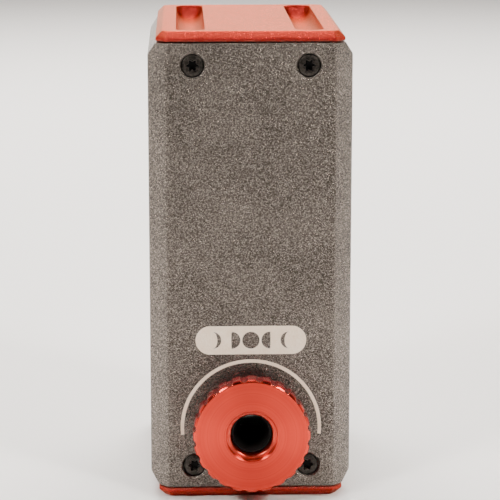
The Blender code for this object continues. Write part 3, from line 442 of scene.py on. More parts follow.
front_cuts = screw_pockets(FRONT_SCREWS, FRONT)
front_cuts.append(port((0, -HALF_DEPTH, ring_middle[2]), FRONT, RING_PORT))
front_mesh = machined(shell_half("front_shell_skin", -1), [("DIFFERENCE", together("cuts", front_cuts))])
fit("front_shell_skin", front_mesh, GREY_ANODISED, "grey_anodised", "front_shell")

rear_cuts = screw_pockets(REAR_SCREWS, REAR)
rear_cuts += [counterbore(place, REAR, FAN_POCKET_RADIUS, FAN_POCKET_DEPTH, FAN_HOLE) for place in FAN_SCREWS]
rear_cuts.append(counterbore((0, HALF_DEPTH, fan_middle[2]), REAR, GUARD_SEAT, GUARD_SEAT_DEPTH, FAN_PORT))
for node, radius, stretch in (("data_socket", DATA_PORT_RADIUS, DATA_PORT_HALF),
                              ("power_socket", POWER_PORT, 0.0), ("status_light", LIGHT_PORT, 0.0)):
    rear_cuts.append(port((0, HALF_DEPTH, middle_of(node)[2]), REAR, radius, stretch))
for number in range(VENT_COUNT):
    vent_z = fan_middle[2] + (number - (VENT_COUNT - 1) / 2) * VENT_PITCH
    for side in (-1, 1):
        rear_cuts.append(port((side * HALF_WIDTH, VENT_Y, vent_z), SIDEWAYS * [[1], [1], [side]],
                              VENT_RADIUS, VENT_HALF, 2 * SIDE_WALL))
BOSS_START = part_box("main_board")[1].y + BOARD_PLAY
BOSS_DEPTH = HALF_DEPTH - FACE_WALL / 2 - BOSS_START
boss_places = [(x, BOSS_START, z) for x, _, z in face_points("board_bolt", 0.0)]
bosses = [round_body("boss", rod(BOSS_ROUND, 0, BOSS_DEPTH), place, REAR, 32) for place in boss_places]
threads = [round_body("thread", rod(BOSS_THREAD, -BOSS_DEPTH, THREAD_END), place, REAR, 24)
           for place in boss_places]
rear_mesh = machined(shell_half("rear_shell_skin", 1), [
    ("UNION", together("bosses", bosses)), ("DIFFERENCE", together("cuts", [*rear_cuts, *threads]))])
fit("rear_shell_skin", rear_mesh, GREY_ANODISED, "grey_anodised", "rear_shell")


# ---- Etched marks ----
# A slot-shaped badge with the moon's phases left unetched in it, and an arc round the focus ring.
# A laser takes the anodising off to pale, matt metal, so they stand only microns from the face.
ETCH_STEP = 0.02 * MM
BADGE_RADIUS, BADGE_HALF, BADGE_RISE = 3.6 * MM, 10.1 * MM, 22.4 * MM
MOON_RADIUS, MOON_PITCH = 2.15 * MM, 4.75 * MM
MOON_LIMBS = (0.55, -0.05, -1.0, -0.05, 0.55)  # the inner limb's reach, as a share of the radius
ARC_RADIUS, ARC_WIDTH = 17.1 * MM, 0.85 * MM
ARC_START, ARC_END = math.radians(-6), math.radians(186)


def plate(name, outline, place, facing, low, high):
    """A flat outline with a thickness, from low to high along its outward axis."""
    rows = [np.column_stack([outline, np.full(len(outline), h)]) for h in (high, low)]
    return skin(name, np.asarray(place) + np.stack(rows) @ facing)


def rectangle(left, bottom, right, top):
    """The outline of a rectangle."""
    return np.array([(left, bottom), (right, bottom), (right, top), (left, top)])


def lune(limb, mirror):
    """A moon phase: the outer limb R (cos a, sin a), and back along the inner one, (k R cos a, R sin a)."""
    angle = np.linspace(-math.pi / 2, math.pi / 2, 25)
    outer = np.column_stack([np.cos(angle), np.sin(angle)])
    inner = np.column_stack([limb * np.cos(angle), np.sin(angle)])[-2:0:-1]
    return MOON_RADIUS * np.concatenate([outer, inner]) * [mirror, 1]


def etched_pale():
    """Metal laid bare by the laser: pale, matt and a little patchy."""
    made = Finish("etched_pale", {"Metallic": 0.15})
    tree = made.tree
    blast = made.group(BLAST_GRAIN, Scale=2500.0)
    level = maths(tree, "ADD", times(tree, blast["Sparkle"], 0.35), made.cloud(350.0, to_high=0.5))
    return made.done(mixed(tree, level, (0.92, 0.72, 0.54), (1.0, 0.86, 0.70)),
                     spread(tree, blast["Sparkle"], 0.0, 1.0, 0.62, 0.48), blast["Height"], 0.00006)


ETCHED = etched_pale()
badge_place = (0, -HALF_DEPTH, ring_middle[2] + BADGE_RISE)
badge = round_body("etched_badge", rod(BADGE_RADIUS, ETCH_STEP, -ETCH_STEP), badge_place, FRONT,
                   stretch=BADGE_HALF)
sweep = np.linspace(ARC_START, ARC_END, 97)[:, None]
across_arc = ARC_RADIUS + ARC_WIDTH / 2 * np.array([1, 1, -1, -1])
out_of_face = np.broadcast_to(ETCH_STEP * np.array([1, -1, -1, 1]), (len(sweep), 4))
arc_points = np.stack([across_arc * np.cos(sweep), across_arc * np.sin(sweep), out_of_face], -1) @ FRONT
arc = skin("etched_arc", arc_points + [0, -HALF_DEPTH, ring_middle[2]])
fit("etched_badge", badge, ETCHED, "bare_aluminium")
fit("etched_arc", arc, ETCHED, "bare_aluminium")
moons = []
for number, limb in enumerate(MOON_LIMBS):
    offset = number - (len(MOON_LIMBS) - 1) / 2
    moon_place = np.add(badge_place, (offset * MOON_PITCH, 0, 0))
    phase = lune(limb, 1 if offset < 0 else -1)
    moons.append(plate("moon", phase, moon_place, FRONT, ETCH_STEP / 2, 2 * ETCH_STEP))
fit("badge_moons", together("badge_moons", moons), GREY_ANODISED, "grey_anodised")


# ---- End caps ----
# Red anodised aluminium plates with a bevelled rim. Each plugs into both shells and carries four
# threaded bosses for the housing screws. The top one has two flutes cut by a ball-ended cutter.
CAP_HALF_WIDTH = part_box("top_cap")[1].x
CAP_CORNER = UPRIGHT_CUT - LEAN_X
CAP_RIM = 2.45 * MM
CAP_BEVEL = 1.6 * MM
CAP_EDGE = 0.3 * MM
CAP_PLUG = 5.2 * MM  # from the outer face to the end of the plug
PLUG_PLAY = 0.3 * MM
FLUTE_RADIUS, FLUTE_X, FLUTE_INSET = 3.5 * MM, 14.5 * MM, 3.2 * MM
FLUTE_LIP = 0.22 * MM
CAP_BOSS, CAP_BOSS_LENGTH, BOSS_RISE = 4.0 * MM, 5.7 * MM, 2.6 * MM
BOSS_SHY = 0.05 * MM
TRIPOD_HOLE = 5.3 * MM


def cap_plan(half_width, half_depth, corner, inset):
    """A rectangle with its corners cut, drawn in by an inset that keeps the cuts parallel."""
    w, d = half_width - inset, half_depth - inset
    c = corner - (2 - math.sqrt(2)) * inset
    return softened_loop([(w, -d + c), (w, d - c), (w - c, d), (-w + c, d), (-w, d - c), (-w, -d + c),
                          (-w + c, -d), (w - c, -d)], CAP_EDGE)


def stacked(name, half_width, half_depth, corner, profile, up, outer_z):
    """A cap's plan carried along (inset, depth below the outer face) points."""
    rows = [np.column_stack([plan, np.full(len(plan), outer_z - up * depth)])
            for plan, depth in ((cap_plan(half_width, half_depth, corner, inset), depth)
                                for inset, depth in profile)]
    return skin(name, np.stack(rows))


def end_cap(name, up):
    """The rim with its bevel and soft edges, joined to the plug and the screw bosses."""
    outer_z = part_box("top_cap")[1].z if up > 0 else 0.0
    rim = softened([(CAP_BEVEL + 1 * MM, 0), (CAP_BEVEL, 0), (0, CAP_BEVEL), (0, CAP_RIM)], CAP_EDGE, 7)
    rim = [*rim[:-1], (0, CAP_RIM - EDGE_BREAK), (EDGE_BREAK, CAP_RIM)]
    cap = stacked(name, CAP_HALF_WIDTH, HALF_DEPTH, CAP_CORNER, rim, up, outer_z)
    plug_width, plug_depth = HALF_WIDTH - SIDE_WALL - PLUG_PLAY, HALF_DEPTH - FACE_WALL - PLUG_PLAY
    plug = stacked("plug", plug_width, plug_depth, INNER_CUT,
                   [(0, CAP_RIM / 2), (0, CAP_PLUG - EDGE_BREAK), (EDGE_BREAK, CAP_PLUG)], up, outer_z)
    joined = [("UNION", plug)]
    holes = []
    for face, front_face in ((-1, FRONT_UPRIGHT), (1, FRONT_UPRIGHT * [[1], [1], [-1]])):
        for x, _, z in FRONT_SCREWS[2:] if up > 0 else FRONT_SCREWS[:2]:
            start = (x, face * (plug_depth - CAP_BOSS_LENGTH - BOSS_SHY), z + up * BOSS_RISE / 2)
            boss = round_body("boss", rod(CAP_BOSS, 0, CAP_BOSS_LENGTH), start, front_face, 32, BOSS_RISE / 2)
            joined.append(("UNION", boss))
            hole = rod(SCREW_HOLE, -MM, CAP_BOSS_LENGTH + MM)
            holes.append(round_body("hole", hole, (x, start[1], z), front_face, 32))
    return cap, joined, holes


def flute(x):
    """A half-round groove with ball ends: circles of radius sqrt(r^2 - h^2), pulled out lengthwise,
    and a small flare at the lip."""
    depth = FLUTE_RADIUS * np.cos(np.linspace(0, math.pi / 2, 22))[:-1]
    profile = [(math.sqrt(max(FLUTE_RADIUS ** 2 - h ** 2, 0)), -h) for h in depth if h > FLUTE_LIP]
    flare = [(FLUTE_RADIUS + FLUTE_LIP * (1 - math.cos(a)), -FLUTE_LIP * (1 - math.sin(a)))
             for a in np.linspace(0, math.pi / 2, 6)]
    profile += [*flare, (FLUTE_RADIUS + FLUTE_LIP, CUTTER_SPARE), (0, CUTTER_SPARE)]
    place = (x, 0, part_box("top_cap")[1].z)
    return round_body("flute", profile, place, UP_LENGTHWISE, 80, HALF_DEPTH - FLUTE_INSET - FLUTE_RADIUS)


RED_GRAZING = (1.0, 0.72, 0.52)
RED_CAP = anodised_blasted("red_anodised_blasted", (0.23, 0.015, 0.012), (0.58, 0.048, 0.038),
                           (0.95, 0.40, 0.28), 0.33, 0.00010, 1.1, RED_GRAZING)
top, top_joined, top_holes = end_cap("top_cap_plate", 1)
flutes = [flute(-FLUTE_X), flute(FLUTE_X)]
top = machined(top, [*top_joined, ("DIFFERENCE", together("cuts", [*top_holes, *flutes]))], 25)
fit("top_cap_plate", top, RED_CAP, "red_anodised", "top_cap")
bottom, bottom_joined, bottom_holes = end_cap("bottom_cap_plate", -1)
tripod_middle = middle_of("tripod_insert")
bottom_holes.append(port((0, tripod_middle[1], 0), UP * [[1], [1], [-1]], TRIPOD_HOLE))
bottom = machined(bottom, [*bottom_joined, ("DIFFERENCE", together("cuts", bottom_holes))])
fit("bottom_cap_plate", bottom, RED_CAP, "red_anodised", "bottom_cap")


# ---- Tripod insert ----
# A steel bush pressed into the underside, its bore tapped for a tripod screw: the thread's crests
# and roots wind along it as a helix.
TRIPOD_BORE, TRIPOD_PITCH, THREAD_DEPTH = 3.2 * MM, 1.27 * MM, 0.45 * MM
TRIPOD_EDGE = 0.3 * MM
TRIPOD_STEPS = 72


def thread_wave(turns):
    """The share of the thread's depth at a number of turns: a triangle wave with its crests cut off."""
    return np.clip(1.6 * np.abs(2 * (turns % 1.0) - 1) - 0.3, 0, 1)


def turned_metal(name, colour, roughness, scale):
    """Turned or drawn metal: fine marks round its axis, a little staining and brighter edges."""
    made = Finish(name, {"Metallic": 1.0})
    tree = made.tree
    marks = made.group(TURNING_MARKS, Scale=scale)
    wear = made.group(EDGE_WEAR)["Mask"]
    darker = tuple(0.72 * c for c in colour)
    brighter = tuple(min(1.0, 1.5 * c + 0.04) for c in colour)
    return made.done(mixed(tree, wear, mixed(tree, made.cloud(1200.0), darker, colour), brighter),
                     spread(tree, marks["Shade"], 0.2, 0.8, roughness - 0.07, roughness + 0.08),
                     marks["Height"], FINE)


def axis_distances(tree, vector):
    """How far a point stands from the pattern's axis, and how far along it."""
    flat = wire(tree, "ShaderNodeVectorMath", {0: vector, 1: (1, 1, 0)}, operation="MULTIPLY").outputs[0]
    radius = wire(tree, "ShaderNodeVectorMath", {0: flat}, operation="LENGTH").outputs["Value"]
    return radius, wire(tree, "ShaderNodeSeparateXYZ", {0: vector}).outputs["Z"]


def turning_marks():
    """A lathe's marks: noise of the distance from the axis and of the height along it, so that it is
    the same all round."""
    tree, given, result = effect("turning_marks", {"Vector": None, "Scale": 9000.0}, ["Height", "Shade"])
    radius, height = axis_distances(tree, given["Vector"])
    where = wire(tree, "ShaderNodeCombineXYZ", {"X": radius, "Y": height}).outputs[0]
    fine = wire(tree, "ShaderNodeTexNoise", {"Vector": where, "Scale": given["Scale"], "Detail": 1.0})
    broad = wire(tree, "ShaderNodeTexNoise", {
        "Vector": where, "Scale": times(tree, given["Scale"], 0.45), "Detail": 2.0})
    both = maths(tree, "ADD", fine.outputs["Fac"], times(tree, broad.outputs["Fac"], 0.3))
    tree.links.new(both, result["Height"])
    tree.links.new(broad.outputs["Fac"], result["Shade"])
    return tree


TURNING_MARKS = turning_marks()
ROUND_Y = (math.pi / 2, 0, 0)  # turns a pattern's own axis to lie along Y
BRIGHT_STEEL = turned_metal("bright_steel_drawn", (0.56, 0.55, 0.53), 0.30, 9000.0)
insert_low, insert_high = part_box("tripod_insert")
bore_z = np.linspace(insert_low.z, insert_high.z, 49)
turn_share = (np.arange(TRIPOD_STEPS) + 0.5) / TRIPOD_STEPS
bore = TRIPOD_BORE + THREAD_DEPTH * thread_wave(bore_z[:, None] / TRIPOD_PITCH + turn_share)
bore[0] = bore[-1] = TRIPOD_BORE + THREAD_DEPTH
around = np.ones(TRIPOD_STEPS)
outer_radii = half_of("tripod_insert")[0] + np.array([-TRIPOD_EDGE, 0, 0, -TRIPOD_EDGE])[:, None] * around
radii = np.concatenate([bore, outer_radii])
outer_z = [insert_high.z, insert_high.z - TRIPOD_EDGE, insert_low.z + TRIPOD_EDGE, insert_low.z]
all_z = np.concatenate([bore_z, outer_z])[:, None] * around
angle = 2 * math.pi * turn_share
insert_points = np.stack([radii * np.cos(angle), tripod_middle[1] + radii * np.sin(angle), all_z], -1)
insert = tube("tripod_bush", insert_points)
fit("tripod_bush", insert, BRIGHT_STEEL, "bright_steel", "tripod_insert")


# ---- Screws ----
# Black-oxide steel screws with crowned round heads, six-lobed recesses and rolled threads. Four
# hold each shell to the bosses of the end caps, and four smaller ones hold the fan.
HOUSING_HEAD, HOUSING_HEAD_HEIGHT, HOUSING_SHANK, HOUSING_LENGTH = 2.75 * MM, 1.65 * MM, 1.5 * MM, 6.4 * MM
HOUSING_SINK = 0.25 * MM
FAN_HEAD, FAN_HEAD_HEIGHT, FAN_SHANK, FAN_LENGTH = 2.3 * MM, 1.1 * MM, 1.1 * MM, 9.0 * MM
FAN_SINK = 0.3 * MM
RECESS_SHARE, LOBE_SHARE, RECESS_DEPTH_SHARE = 0.48, 0.2, 0.85
RECESS_REACH = 0.62  # a share of the head's radius that every lobe stays inside
RECESS_TOP, RECESS_BOTTOM = 0.05, 0.95  # shares of the head's height
CROWN_SHARE, EDGE_SHARE, FLAT_SHARE = 0.06, 0.3, 0.74  # of the height, of the height, of the radius
THREAD_SHARE, THREAD_START = 0.16, 1.5  # the thread's depth in shanks, and the turns it fades in over
SCREW_STEPS, ROWS_PER_TURN, PITCH_SHARE = 72, 6, 0.33


def screw_points(head, height, shank, length):
    """Radius and height over a grid of rows and angles: the floor and walls of the recess, whose
    radius is R (1 + k cos 6a), the crowned head, and a shank whose radius follows the thread."""
    a = (np.arange(SCREW_STEPS) + 0.5) * 2 * math.pi / SCREW_STEPS
    ones = np.ones(SCREW_STEPS)
    lobes = RECESS_SHARE * head * (1 + LOBE_SHARE * np.cos(6 * a))
    deep = RECESS_DEPTH_SHARE * height
    crown, edge = CROWN_SHARE * height, EDGE_SHARE * height
    rows = [(0 * ones, -deep), (0.55 * lobes, -deep), (0.93 * lobes, -0.88 * deep),
            (0.97 * lobes, -0.12 * deep), (lobes + 0.02 * head, -0.02 * deep),
            (0.6 * lobes + 0.4 * 0.78 * head, 0), (FLAT_SHARE * head * ones, 0)]
    bend = np.linspace(0, math.pi / 2, 7)
    rows += [((head - edge + edge * math.sin(b)) * ones, -crown - edge * (1 - math.cos(b))) for b in bend]
    rows += [(head * ones, -height + 0.1 * edge), ((head - 0.1 * edge) * ones, -height),
             (shank * ones, -height)]
    pitch = PITCH_SHARE * shank
    turns = (length - shank * 0.5) / pitch
    along = np.linspace(0, turns, int(turns * ROWS_PER_TURN))
    depth = THREAD_SHARE * shank * np.minimum(1, along / THREAD_START)
    rows += [(shank - d * thread_wave(t + a / (2 * math.pi)), -height - 0.02 * MM - t * pitch)
             for t, d in zip(along, depth)]
    rows += [(0.7 * shank * ones, -height - length), (0 * ones, -height - length)]
    radius = np.stack([row[0] for row in rows])
    out = np.array([row[1] for row in rows])[:, None] * ones
    return np.stack([radius * np.cos(a), radius * np.sin(a), out], -1)


def mark_recess_shade(mesh, place, facing, head, height):
    """Gives the points inside the recess the value 1, so that the finish can paint shade there."""
    points = np.empty(3 * len(mesh.vertices), np.float32)
    mesh.vertices.foreach_get("co", points)
    across, up, out = ((points.reshape(-1, 3) - place) @ facing.T).T
    inside = np.hypot(across, up) < RECESS_REACH * head
    inside &= (out < -RECESS_TOP * height) & (out > -RECESS_BOTTOM * height)
    mesh.attributes.new("recess", "FLOAT", "POINT").data.foreach_set("value", inside.astype(np.float32))


def black_steel():
    """Black oxide over steel: near black and mottled, brownish and brighter along edges, partly where a
    driver rubs it and partly as painted glints, and painted near black inside a recess as painted shade."""
    made = Finish("black_oxide_steel", {"Metallic": 0.9})
    tree = made.tree
    mottle = made.cloud(2200.0, 4.0, 0.35, 0.65)
    # Lighter edges: partly wear from the driver, partly painted glints along the recess and head edges.
    wear = times(tree, made.group(EDGE_WEAR, Width=0.00015)["Mask"], 0.7)
    oxide = mixed(tree, mottle, (0.018, 0.016, 0.014), (0.062, 0.054, 0.047))
    recess = wire(tree, "ShaderNodeAttribute", attribute_name="recess").outputs["Fac"]
    # Painted shade: the recess is coloured near black, standing in for the shade inside it.
    base = mixed(tree, recess, oxide, (0.004, 0.004, 0.004))
    return made.done(mixed(tree, wear, base, (0.46, 0.40, 0.34)), spread(tree, mottle, 0.0, 1.0, 0.32, 0.46),
                     mottle, VERY_FINE)


BLACK_STEEL = black_steel()
housing_screw = screw_points(HOUSING_HEAD, HOUSING_HEAD_HEIGHT, HOUSING_SHANK, HOUSING_LENGTH)
fan_screw = screw_points(FAN_HEAD, FAN_HEAD_HEIGHT, FAN_SHANK, FAN_LENGTH)
for prefix, places, facing, sink, grid, head, height in (
        ("front_screw", FRONT_SCREWS, FRONT, HOUSING_SINK, housing_screw, HOUSING_HEAD, HOUSING_HEAD_HEIGHT),
        ("rear_screw", REAR_SCREWS, REAR, HOUSING_SINK, housing_screw, HOUSING_HEAD, HOUSING_HEAD_HEIGHT),
        ("fan_screw", FAN_SCREWS, REAR, FAN_SINK, fan_screw, FAN_HEAD, FAN_HEAD_HEIGHT)):
    for number, place in enumerate(places, 1):
        name = f"{prefix}_{number}_threaded"
        sunk = np.asarray(place) - sink * facing[2]
        screw = skin(name, grid @ facing + sunk, lids=False)
        mark_recess_shade(screw, sunk, facing, head, height)
        fit(name, screw, BLACK_STEEL, "black_steel", f"{prefix}_{number}")


# ---- Focus ring ----
# The ring is turned from one bar of aluminium, with 24 scallops milled round its rim for grip, and
# anodised red. Its neck turns in the front wall, and a nut and a slippery washer keep it there.
RING_OUTER = half_of("knurled_ring")[0]
RING_FRONT = -HALF_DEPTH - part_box("knurled_ring")[0].y
RING_BACK = 3.1 * MM
RING_CHAMFER = 0.62 * MM
RING_TEETH = 24
SCALLOP_RADIUS, SCALLOP_REACH = 1.0 * MM, 0.35 * MM
CREST_ROUND = 0.09 * MM
RING_NECK, RING_STUB, STUB_END = 10.5 * MM, 9.0 * MM, -5.2 * MM
MOUTH_LIP, MOUTH_RADIUS, MOUTH_DEPTH = 6.5 * MM, 6.15 * MM, 1.3 * MM
GROOVE_RADIUS, GROOVE_DEPTH = 5.62 * MM, 0.16 * MM
RING_BORE = 5.3 * MM
RING_STEPS = RING_TEETH * 24


def soft_least(first, second, soft):
    """The lesser of two values, with a rounded change from one to the other."""
    share = np.clip(0.5 + (second - first) / (2 * soft), 0, 1)
    return second * (1 - share) + first * share - soft * share * (1 - share)


def scalloped(angle):
    """The rim's radius: c cos d - sqrt(s^2 - c^2 sin^2 d) inside a scallop of radius s whose centre
    stands at c, and the ring's own radius between scallops."""
    pitch = 2 * math.pi / RING_TEETH
    centre = RING_OUTER + SCALLOP_REACH
    off = (angle - math.pi / 2) % pitch - pitch / 2
    inside = SCALLOP_RADIUS ** 2 - (centre * np.sin(off)) ** 2
    floor = centre * np.cos(off) - np.sqrt(np.maximum(inside, 0))
    floor = np.where(inside > 0, floor, RING_OUTER + SCALLOP_RADIUS)
    return soft_least(np.full_like(floor, RING_OUTER), floor, CREST_ROUND)


ring_angle = (np.arange(RING_STEPS) + 0.5) * 2 * math.pi / RING_STEPS
rim_line = softened([(RING_NECK, RING_BACK), (RING_OUTER - RING_CHAMFER, RING_BACK),
                     (RING_OUTER, RING_BACK + RING_CHAMFER), (RING_OUTER, RING_FRONT - RING_CHAMFER),
                     (RING_OUTER - RING_CHAMFER, RING_FRONT), (MOUTH_LIP + MM, RING_FRONT)], 0.2 * MM, 5)
face_line = [(r, RING_FRONT) for r in np.linspace(RING_OUTER - 2 * RING_CHAMFER, MOUTH_LIP + 0.1 * MM, 4)]
mouth_line = softened([(MOUTH_LIP + 0.1 * MM, RING_FRONT), (MOUTH_LIP, RING_FRONT),
                       (MOUTH_RADIUS, RING_FRONT - 0.35 * MM),
                       (MOUTH_RADIUS, RING_FRONT - MOUTH_DEPTH), (GROOVE_RADIUS, RING_FRONT - MOUTH_DEPTH),
                       (GROOVE_RADIUS, RING_FRONT - MOUTH_DEPTH - GROOVE_DEPTH),
                       (GROOVE_RADIUS - 0.1 * MM, RING_FRONT - MOUTH_DEPTH - GROOVE_DEPTH),
                       (GROOVE_RADIUS - 0.1 * MM, RING_FRONT - MOUTH_DEPTH + 0.05 * MM),
                       (RING_BORE, RING_FRONT - MOUTH_DEPTH - 0.1 * MM), (RING_BORE, STUB_END)], 0.04 * MM, 3)
neck_line = [(RING_BORE, STUB_END), (RING_STUB - EDGE_BREAK, STUB_END), (RING_STUB, STUB_END + EDGE_BREAK),
             (RING_STUB, -FACE_WALL), (RING_NECK, -FACE_WALL)]
ring_line = np.concatenate([rim_line[:-1], face_line, mouth_line[1:-1], neck_line])
ring_radius = soft_least(ring_line[:, :1] * np.ones(RING_STEPS), scalloped(ring_angle)[None, :],
                         CREST_ROUND / 2)
inner_rows = ring_line[:, 0] < RING_OUTER - 2 * MM
ring_radius[inner_rows] = ring_line[inner_rows, :1]
ring_grid = np.stack([ring_radius * np.cos(ring_angle), ring_radius * np.sin(ring_angle),
                      ring_line[:, 1:] * np.ones(RING_STEPS)], -1)
RING_PLACE = np.array([0, -HALF_DEPTH, ring_middle[2]])


def red_turned():
    """Red anodising over turned metal, with a directional sheen. The milled flanks of the teeth are painted a
    deeper maroon and made less metallic, as painted shade, and their crests are rubbed to a paler red."""
    sheen = {"Specular Tint": (*RED_GRAZING, 1), "Anisotropic": 0.8, "Anisotropic Rotation": 0.25}
    made = Finish("red_anodised_turned", sheen, RING_PLACE, ROUND_Y)
    tree = made.tree
    marks = made.group(TURNING_MARKS, Scale=9000.0)
    wear = made.group(EDGE_WEAR, Width=0.0002)["Mask"]
    streak = spread(tree, marks["Shade"], 0.3, 0.7, 0.0, 1.0)
    lathe_red = mixed(tree, streak, (0.60, 0.044, 0.028), (0.70, 0.062, 0.040))
    out, along = axis_distances(tree, made.place)
    rim = spread(tree, out, RING_OUTER - SCALLOP_RADIUS, RING_OUTER - RING_CHAMFER, 0.0, 1.0)
    behind_face = spread(tree, along, RING_FRONT - RING_CHAMFER, RING_FRONT - RING_CHAMFER / 2, 1.0, 0.0)
    milled = times(tree, rim, behind_face)
    # Painted shade: the flanks between the teeth are coloured dark maroon, and below are made less metallic,
    # so that they look shaded.
    base = mixed(tree, milled, lathe_red, (0.26, 0.012, 0.022))
    rough = spread(tree, marks["Shade"], 0.3, 0.7, 0.27, 0.33)
    made.feed("Metallic", spread(tree, milled, 0.0, 1.0, 1.0, 0.3))
    made.feed("Tangent", wire(tree, "ShaderNodeTangent", direction_type="RADIAL", axis="Y").outputs[0])
    return made.done(mixed(tree, times(tree, wear, 0.6), base, (0.95, 0.42, 0.30)),
                     maths(tree, "SUBTRACT", rough, times(tree, rim, 0.12)), marks["Height"], VERY_FINE)


RED_TURNED = red_turned()
ring = tube("focus_ring_scalloped", ring_grid @ FRONT + RING_PLACE, 30)
fit("focus_ring_scalloped", ring, RED_TURNED, "red_anodised", "knurled_ring", body="focus_ring")


def washer(name, node, bore_radius, edge):
    """A flat ring filling a node's box along Y, its four edges broken."""
    outer, half, _ = half_of(node)
    corners = [(outer, half), (outer, -half), (bore_radius, -half), (bore_radius, half)]
    return tube(name, spun(softened_loop(corners, edge, 4), middle_of(node), FRONT, 96))


NUT_BORE = 9.3 * MM
SPANNER_SLOT, SLOT_DEPTH = 0.8 * MM, 0.55 * MM
nut = washer("ring_nut", "retaining_nut", NUT_BORE, 0.15 * MM)
nut_middle = middle_of("retaining_nut")
slot_reach = 1.2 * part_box("retaining_nut")[1].x
slot_place = (nut_middle[0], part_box("retaining_nut")[1].y, nut_middle[2])
slot_cut = plate("slot", rectangle(-slot_reach, -SPANNER_SLOT, slot_reach, SPANNER_SLOT), slot_place, FRONT,
                 -MM, SLOT_DEPTH)
fit("ring_nut", machined(nut, [("DIFFERENCE", slot_cut)]), BLACK_STEEL, "black_steel", "retaining_nut",
    body="focus_ring")


def pale_plastic():
    """Slippery pale plastic sheet, faintly streaked by the knife that cut it."""
    made = Finish("pale_slippery_plastic", {"Subsurface Weight": 0.05}, middle_of("thrust_washer"), ROUND_Y)
    streak = made.group(TURNING_MARKS, Scale=5000.0)
    return made.done(mixed(made.tree, streak["Shade"], (0.55, 0.52, 0.43), (0.82, 0.79, 0.70)),
                     spread(made.tree, streak["Shade"], 0.3, 0.7, 0.42, 0.56), streak["Height"], VERY_FINE)


PALE_PLASTIC = pale_plastic()
fit("slip_washer", washer("slip_washer", "thrust_washer", NUT_BORE, 0.08 * MM), PALE_PLASTIC,
    "pale_plastic", "thrust_washer")


# ---- Focus barrel ----
# A black anodised tube that the ring's thread drives in and out. Its mouth is a cone with fine
# baffle grooves against stray light, and two holes in its flange slide on steel pins.
BARREL_RADIUS, BARREL_RIM, BARREL_LIP = 5.0 * MM, 5.0 * MM, 4.6 * MM
CONE_END, BARREL_THROAT = -2.5 * MM, 3.1 * MM
FLANGE_RADIUS, FLANGE_FRONT, FLANGE_BACK = 8.2 * MM, -6.5 * MM, -8.1 * MM
BAFFLE_COUNT, BAFFLE_DEPTH = 9, 0.12 * MM
PIN_HOLE, PIN_EDGE = 1.0 * MM, 0.15 * MM
GUIDE_PINS = ("left_guide_pin", "right_guide_pin")
cone_share = np.linspace(1, 0, 2 * BAFFLE_COUNT + 1)
cone = np.column_stack([BARREL_THROAT + (BARREL_LIP - BARREL_THROAT) * cone_share,
                        CONE_END + (BARREL_RIM - CONE_END) * cone_share])[::-1]
cone[1:-1:2, 0] += BAFFLE_DEPTH
outside = softened([(BARREL_LIP, BARREL_RIM), (BARREL_RADIUS, BARREL_RIM), (BARREL_RADIUS, FLANGE_FRONT),
                    (FLANGE_RADIUS, FLANGE_FRONT), (FLANGE_RADIUS, FLANGE_BACK),
                    (BARREL_THROAT, FLANGE_BACK), (BARREL_THROAT, CONE_END - MM)], 0.15 * MM, 4)
barrel_line = np.concatenate([outside, cone])


def black_anodised(name, centre):
    """Dull black anodising over turned metal."""
    made = Finish(name, {"Specular IOR Level": 0.15}, centre, ROUND_Y)
    tree = made.tree
    marks = made.group(TURNING_MARKS, Scale=7000.0)
    wear = times(tree, made.group(EDGE_WEAR, Width=0.00015)["Mask"], 0.12)
    base = mixed(tree, marks["Shade"], (0.002, 0.002, 0.002), (0.010, 0.0095, 0.009))
    return made.done(mixed(tree, wear, base, (0.05, 0.047, 0.045)),
                     spread(tree, marks["Shade"], 0.3, 0.7, 0.55, 0.7), marks["Height"], FINE)


barrel_mesh = tube("barrel_baffled", spun(barrel_line, RING_PLACE, FRONT, 96))
flange_middle = (FLANGE_FRONT + FLANGE_BACK) / 2
pin_holes = [round_body("pin_hole", rod(PIN_HOLE, -2 * MM, 2 * MM),
                        (middle_of(node)[0], -HALF_DEPTH - flange_middle, ring_middle[2]), FRONT, 32)
             for node in GUIDE_PINS]
barrel_mesh = machined(barrel_mesh, [("DIFFERENCE", together("cuts", pin_holes))])
fit("barrel_baffled", barrel_mesh, black_anodised("black_anodised_turned", RING_PLACE), "black_anodised",
    "focus_barrel", body="barrel")


def ground_pin(name, node, radius, facing, body="housing"):
    """A ground steel pin with soft ends, which fills a node's box along Y."""
    half = half_of(node)[1]
    pin_line = softened(rod(radius, half, -half), PIN_EDGE)
    fit(name, turned(name, pin_line, middle_of(node), facing, 32), BRIGHT_STEEL, "bright_steel", node,
        body=body)


for node in GUIDE_PINS:
    ground_pin(f"{node}_ground", node, half_of(node)[2], FRONT)


# ---- Fan ----
# A 40 mm fan in a moulded frame, behind a steel wire guard. The rotor is one moulding: a cup over
# the motor's windings, with seven cambered blades twisted from root to tip, on a ground shaft.
HUB_RADIUS, HUB_WALL, HUB_ROUND = 8.0 * MM, 1.6 * MM, 0.7 * MM
SHAFT_HOLE = 1.2 * MM
BLADE_COUNT, BLADE_TIP, BLADE_ROOT = 7, 17.3 * MM, 7.3 * MM
ROOT_ANGLE, TIP_ANGLE = math.radians(46), math.radians(58)  # from the axis, so the tip lies flatter
ROOT_CHORD, TIP_CHORD = 7.0 * MM, 8.6 * MM
BLADE_THICKNESS, BLADE_CAMBER, BLADE_SWEEP = 0.8 * MM, 0.07, 0.22
WIRE_RADIUS = 0.6 * MM
GUARD_SHARES = (1.0, 0.678, 0.355)  # the three wire rings, as shares of the largest
SPOKE_RADIUS = 0.5 * MM
rotor_low, rotor_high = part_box("fan_rotor")
HUB_DEPTH = rotor_high.y - rotor_low.y
ROTOR_PLACE = np.array([0, rotor_low.y, middle_of("fan_shaft")[2]])


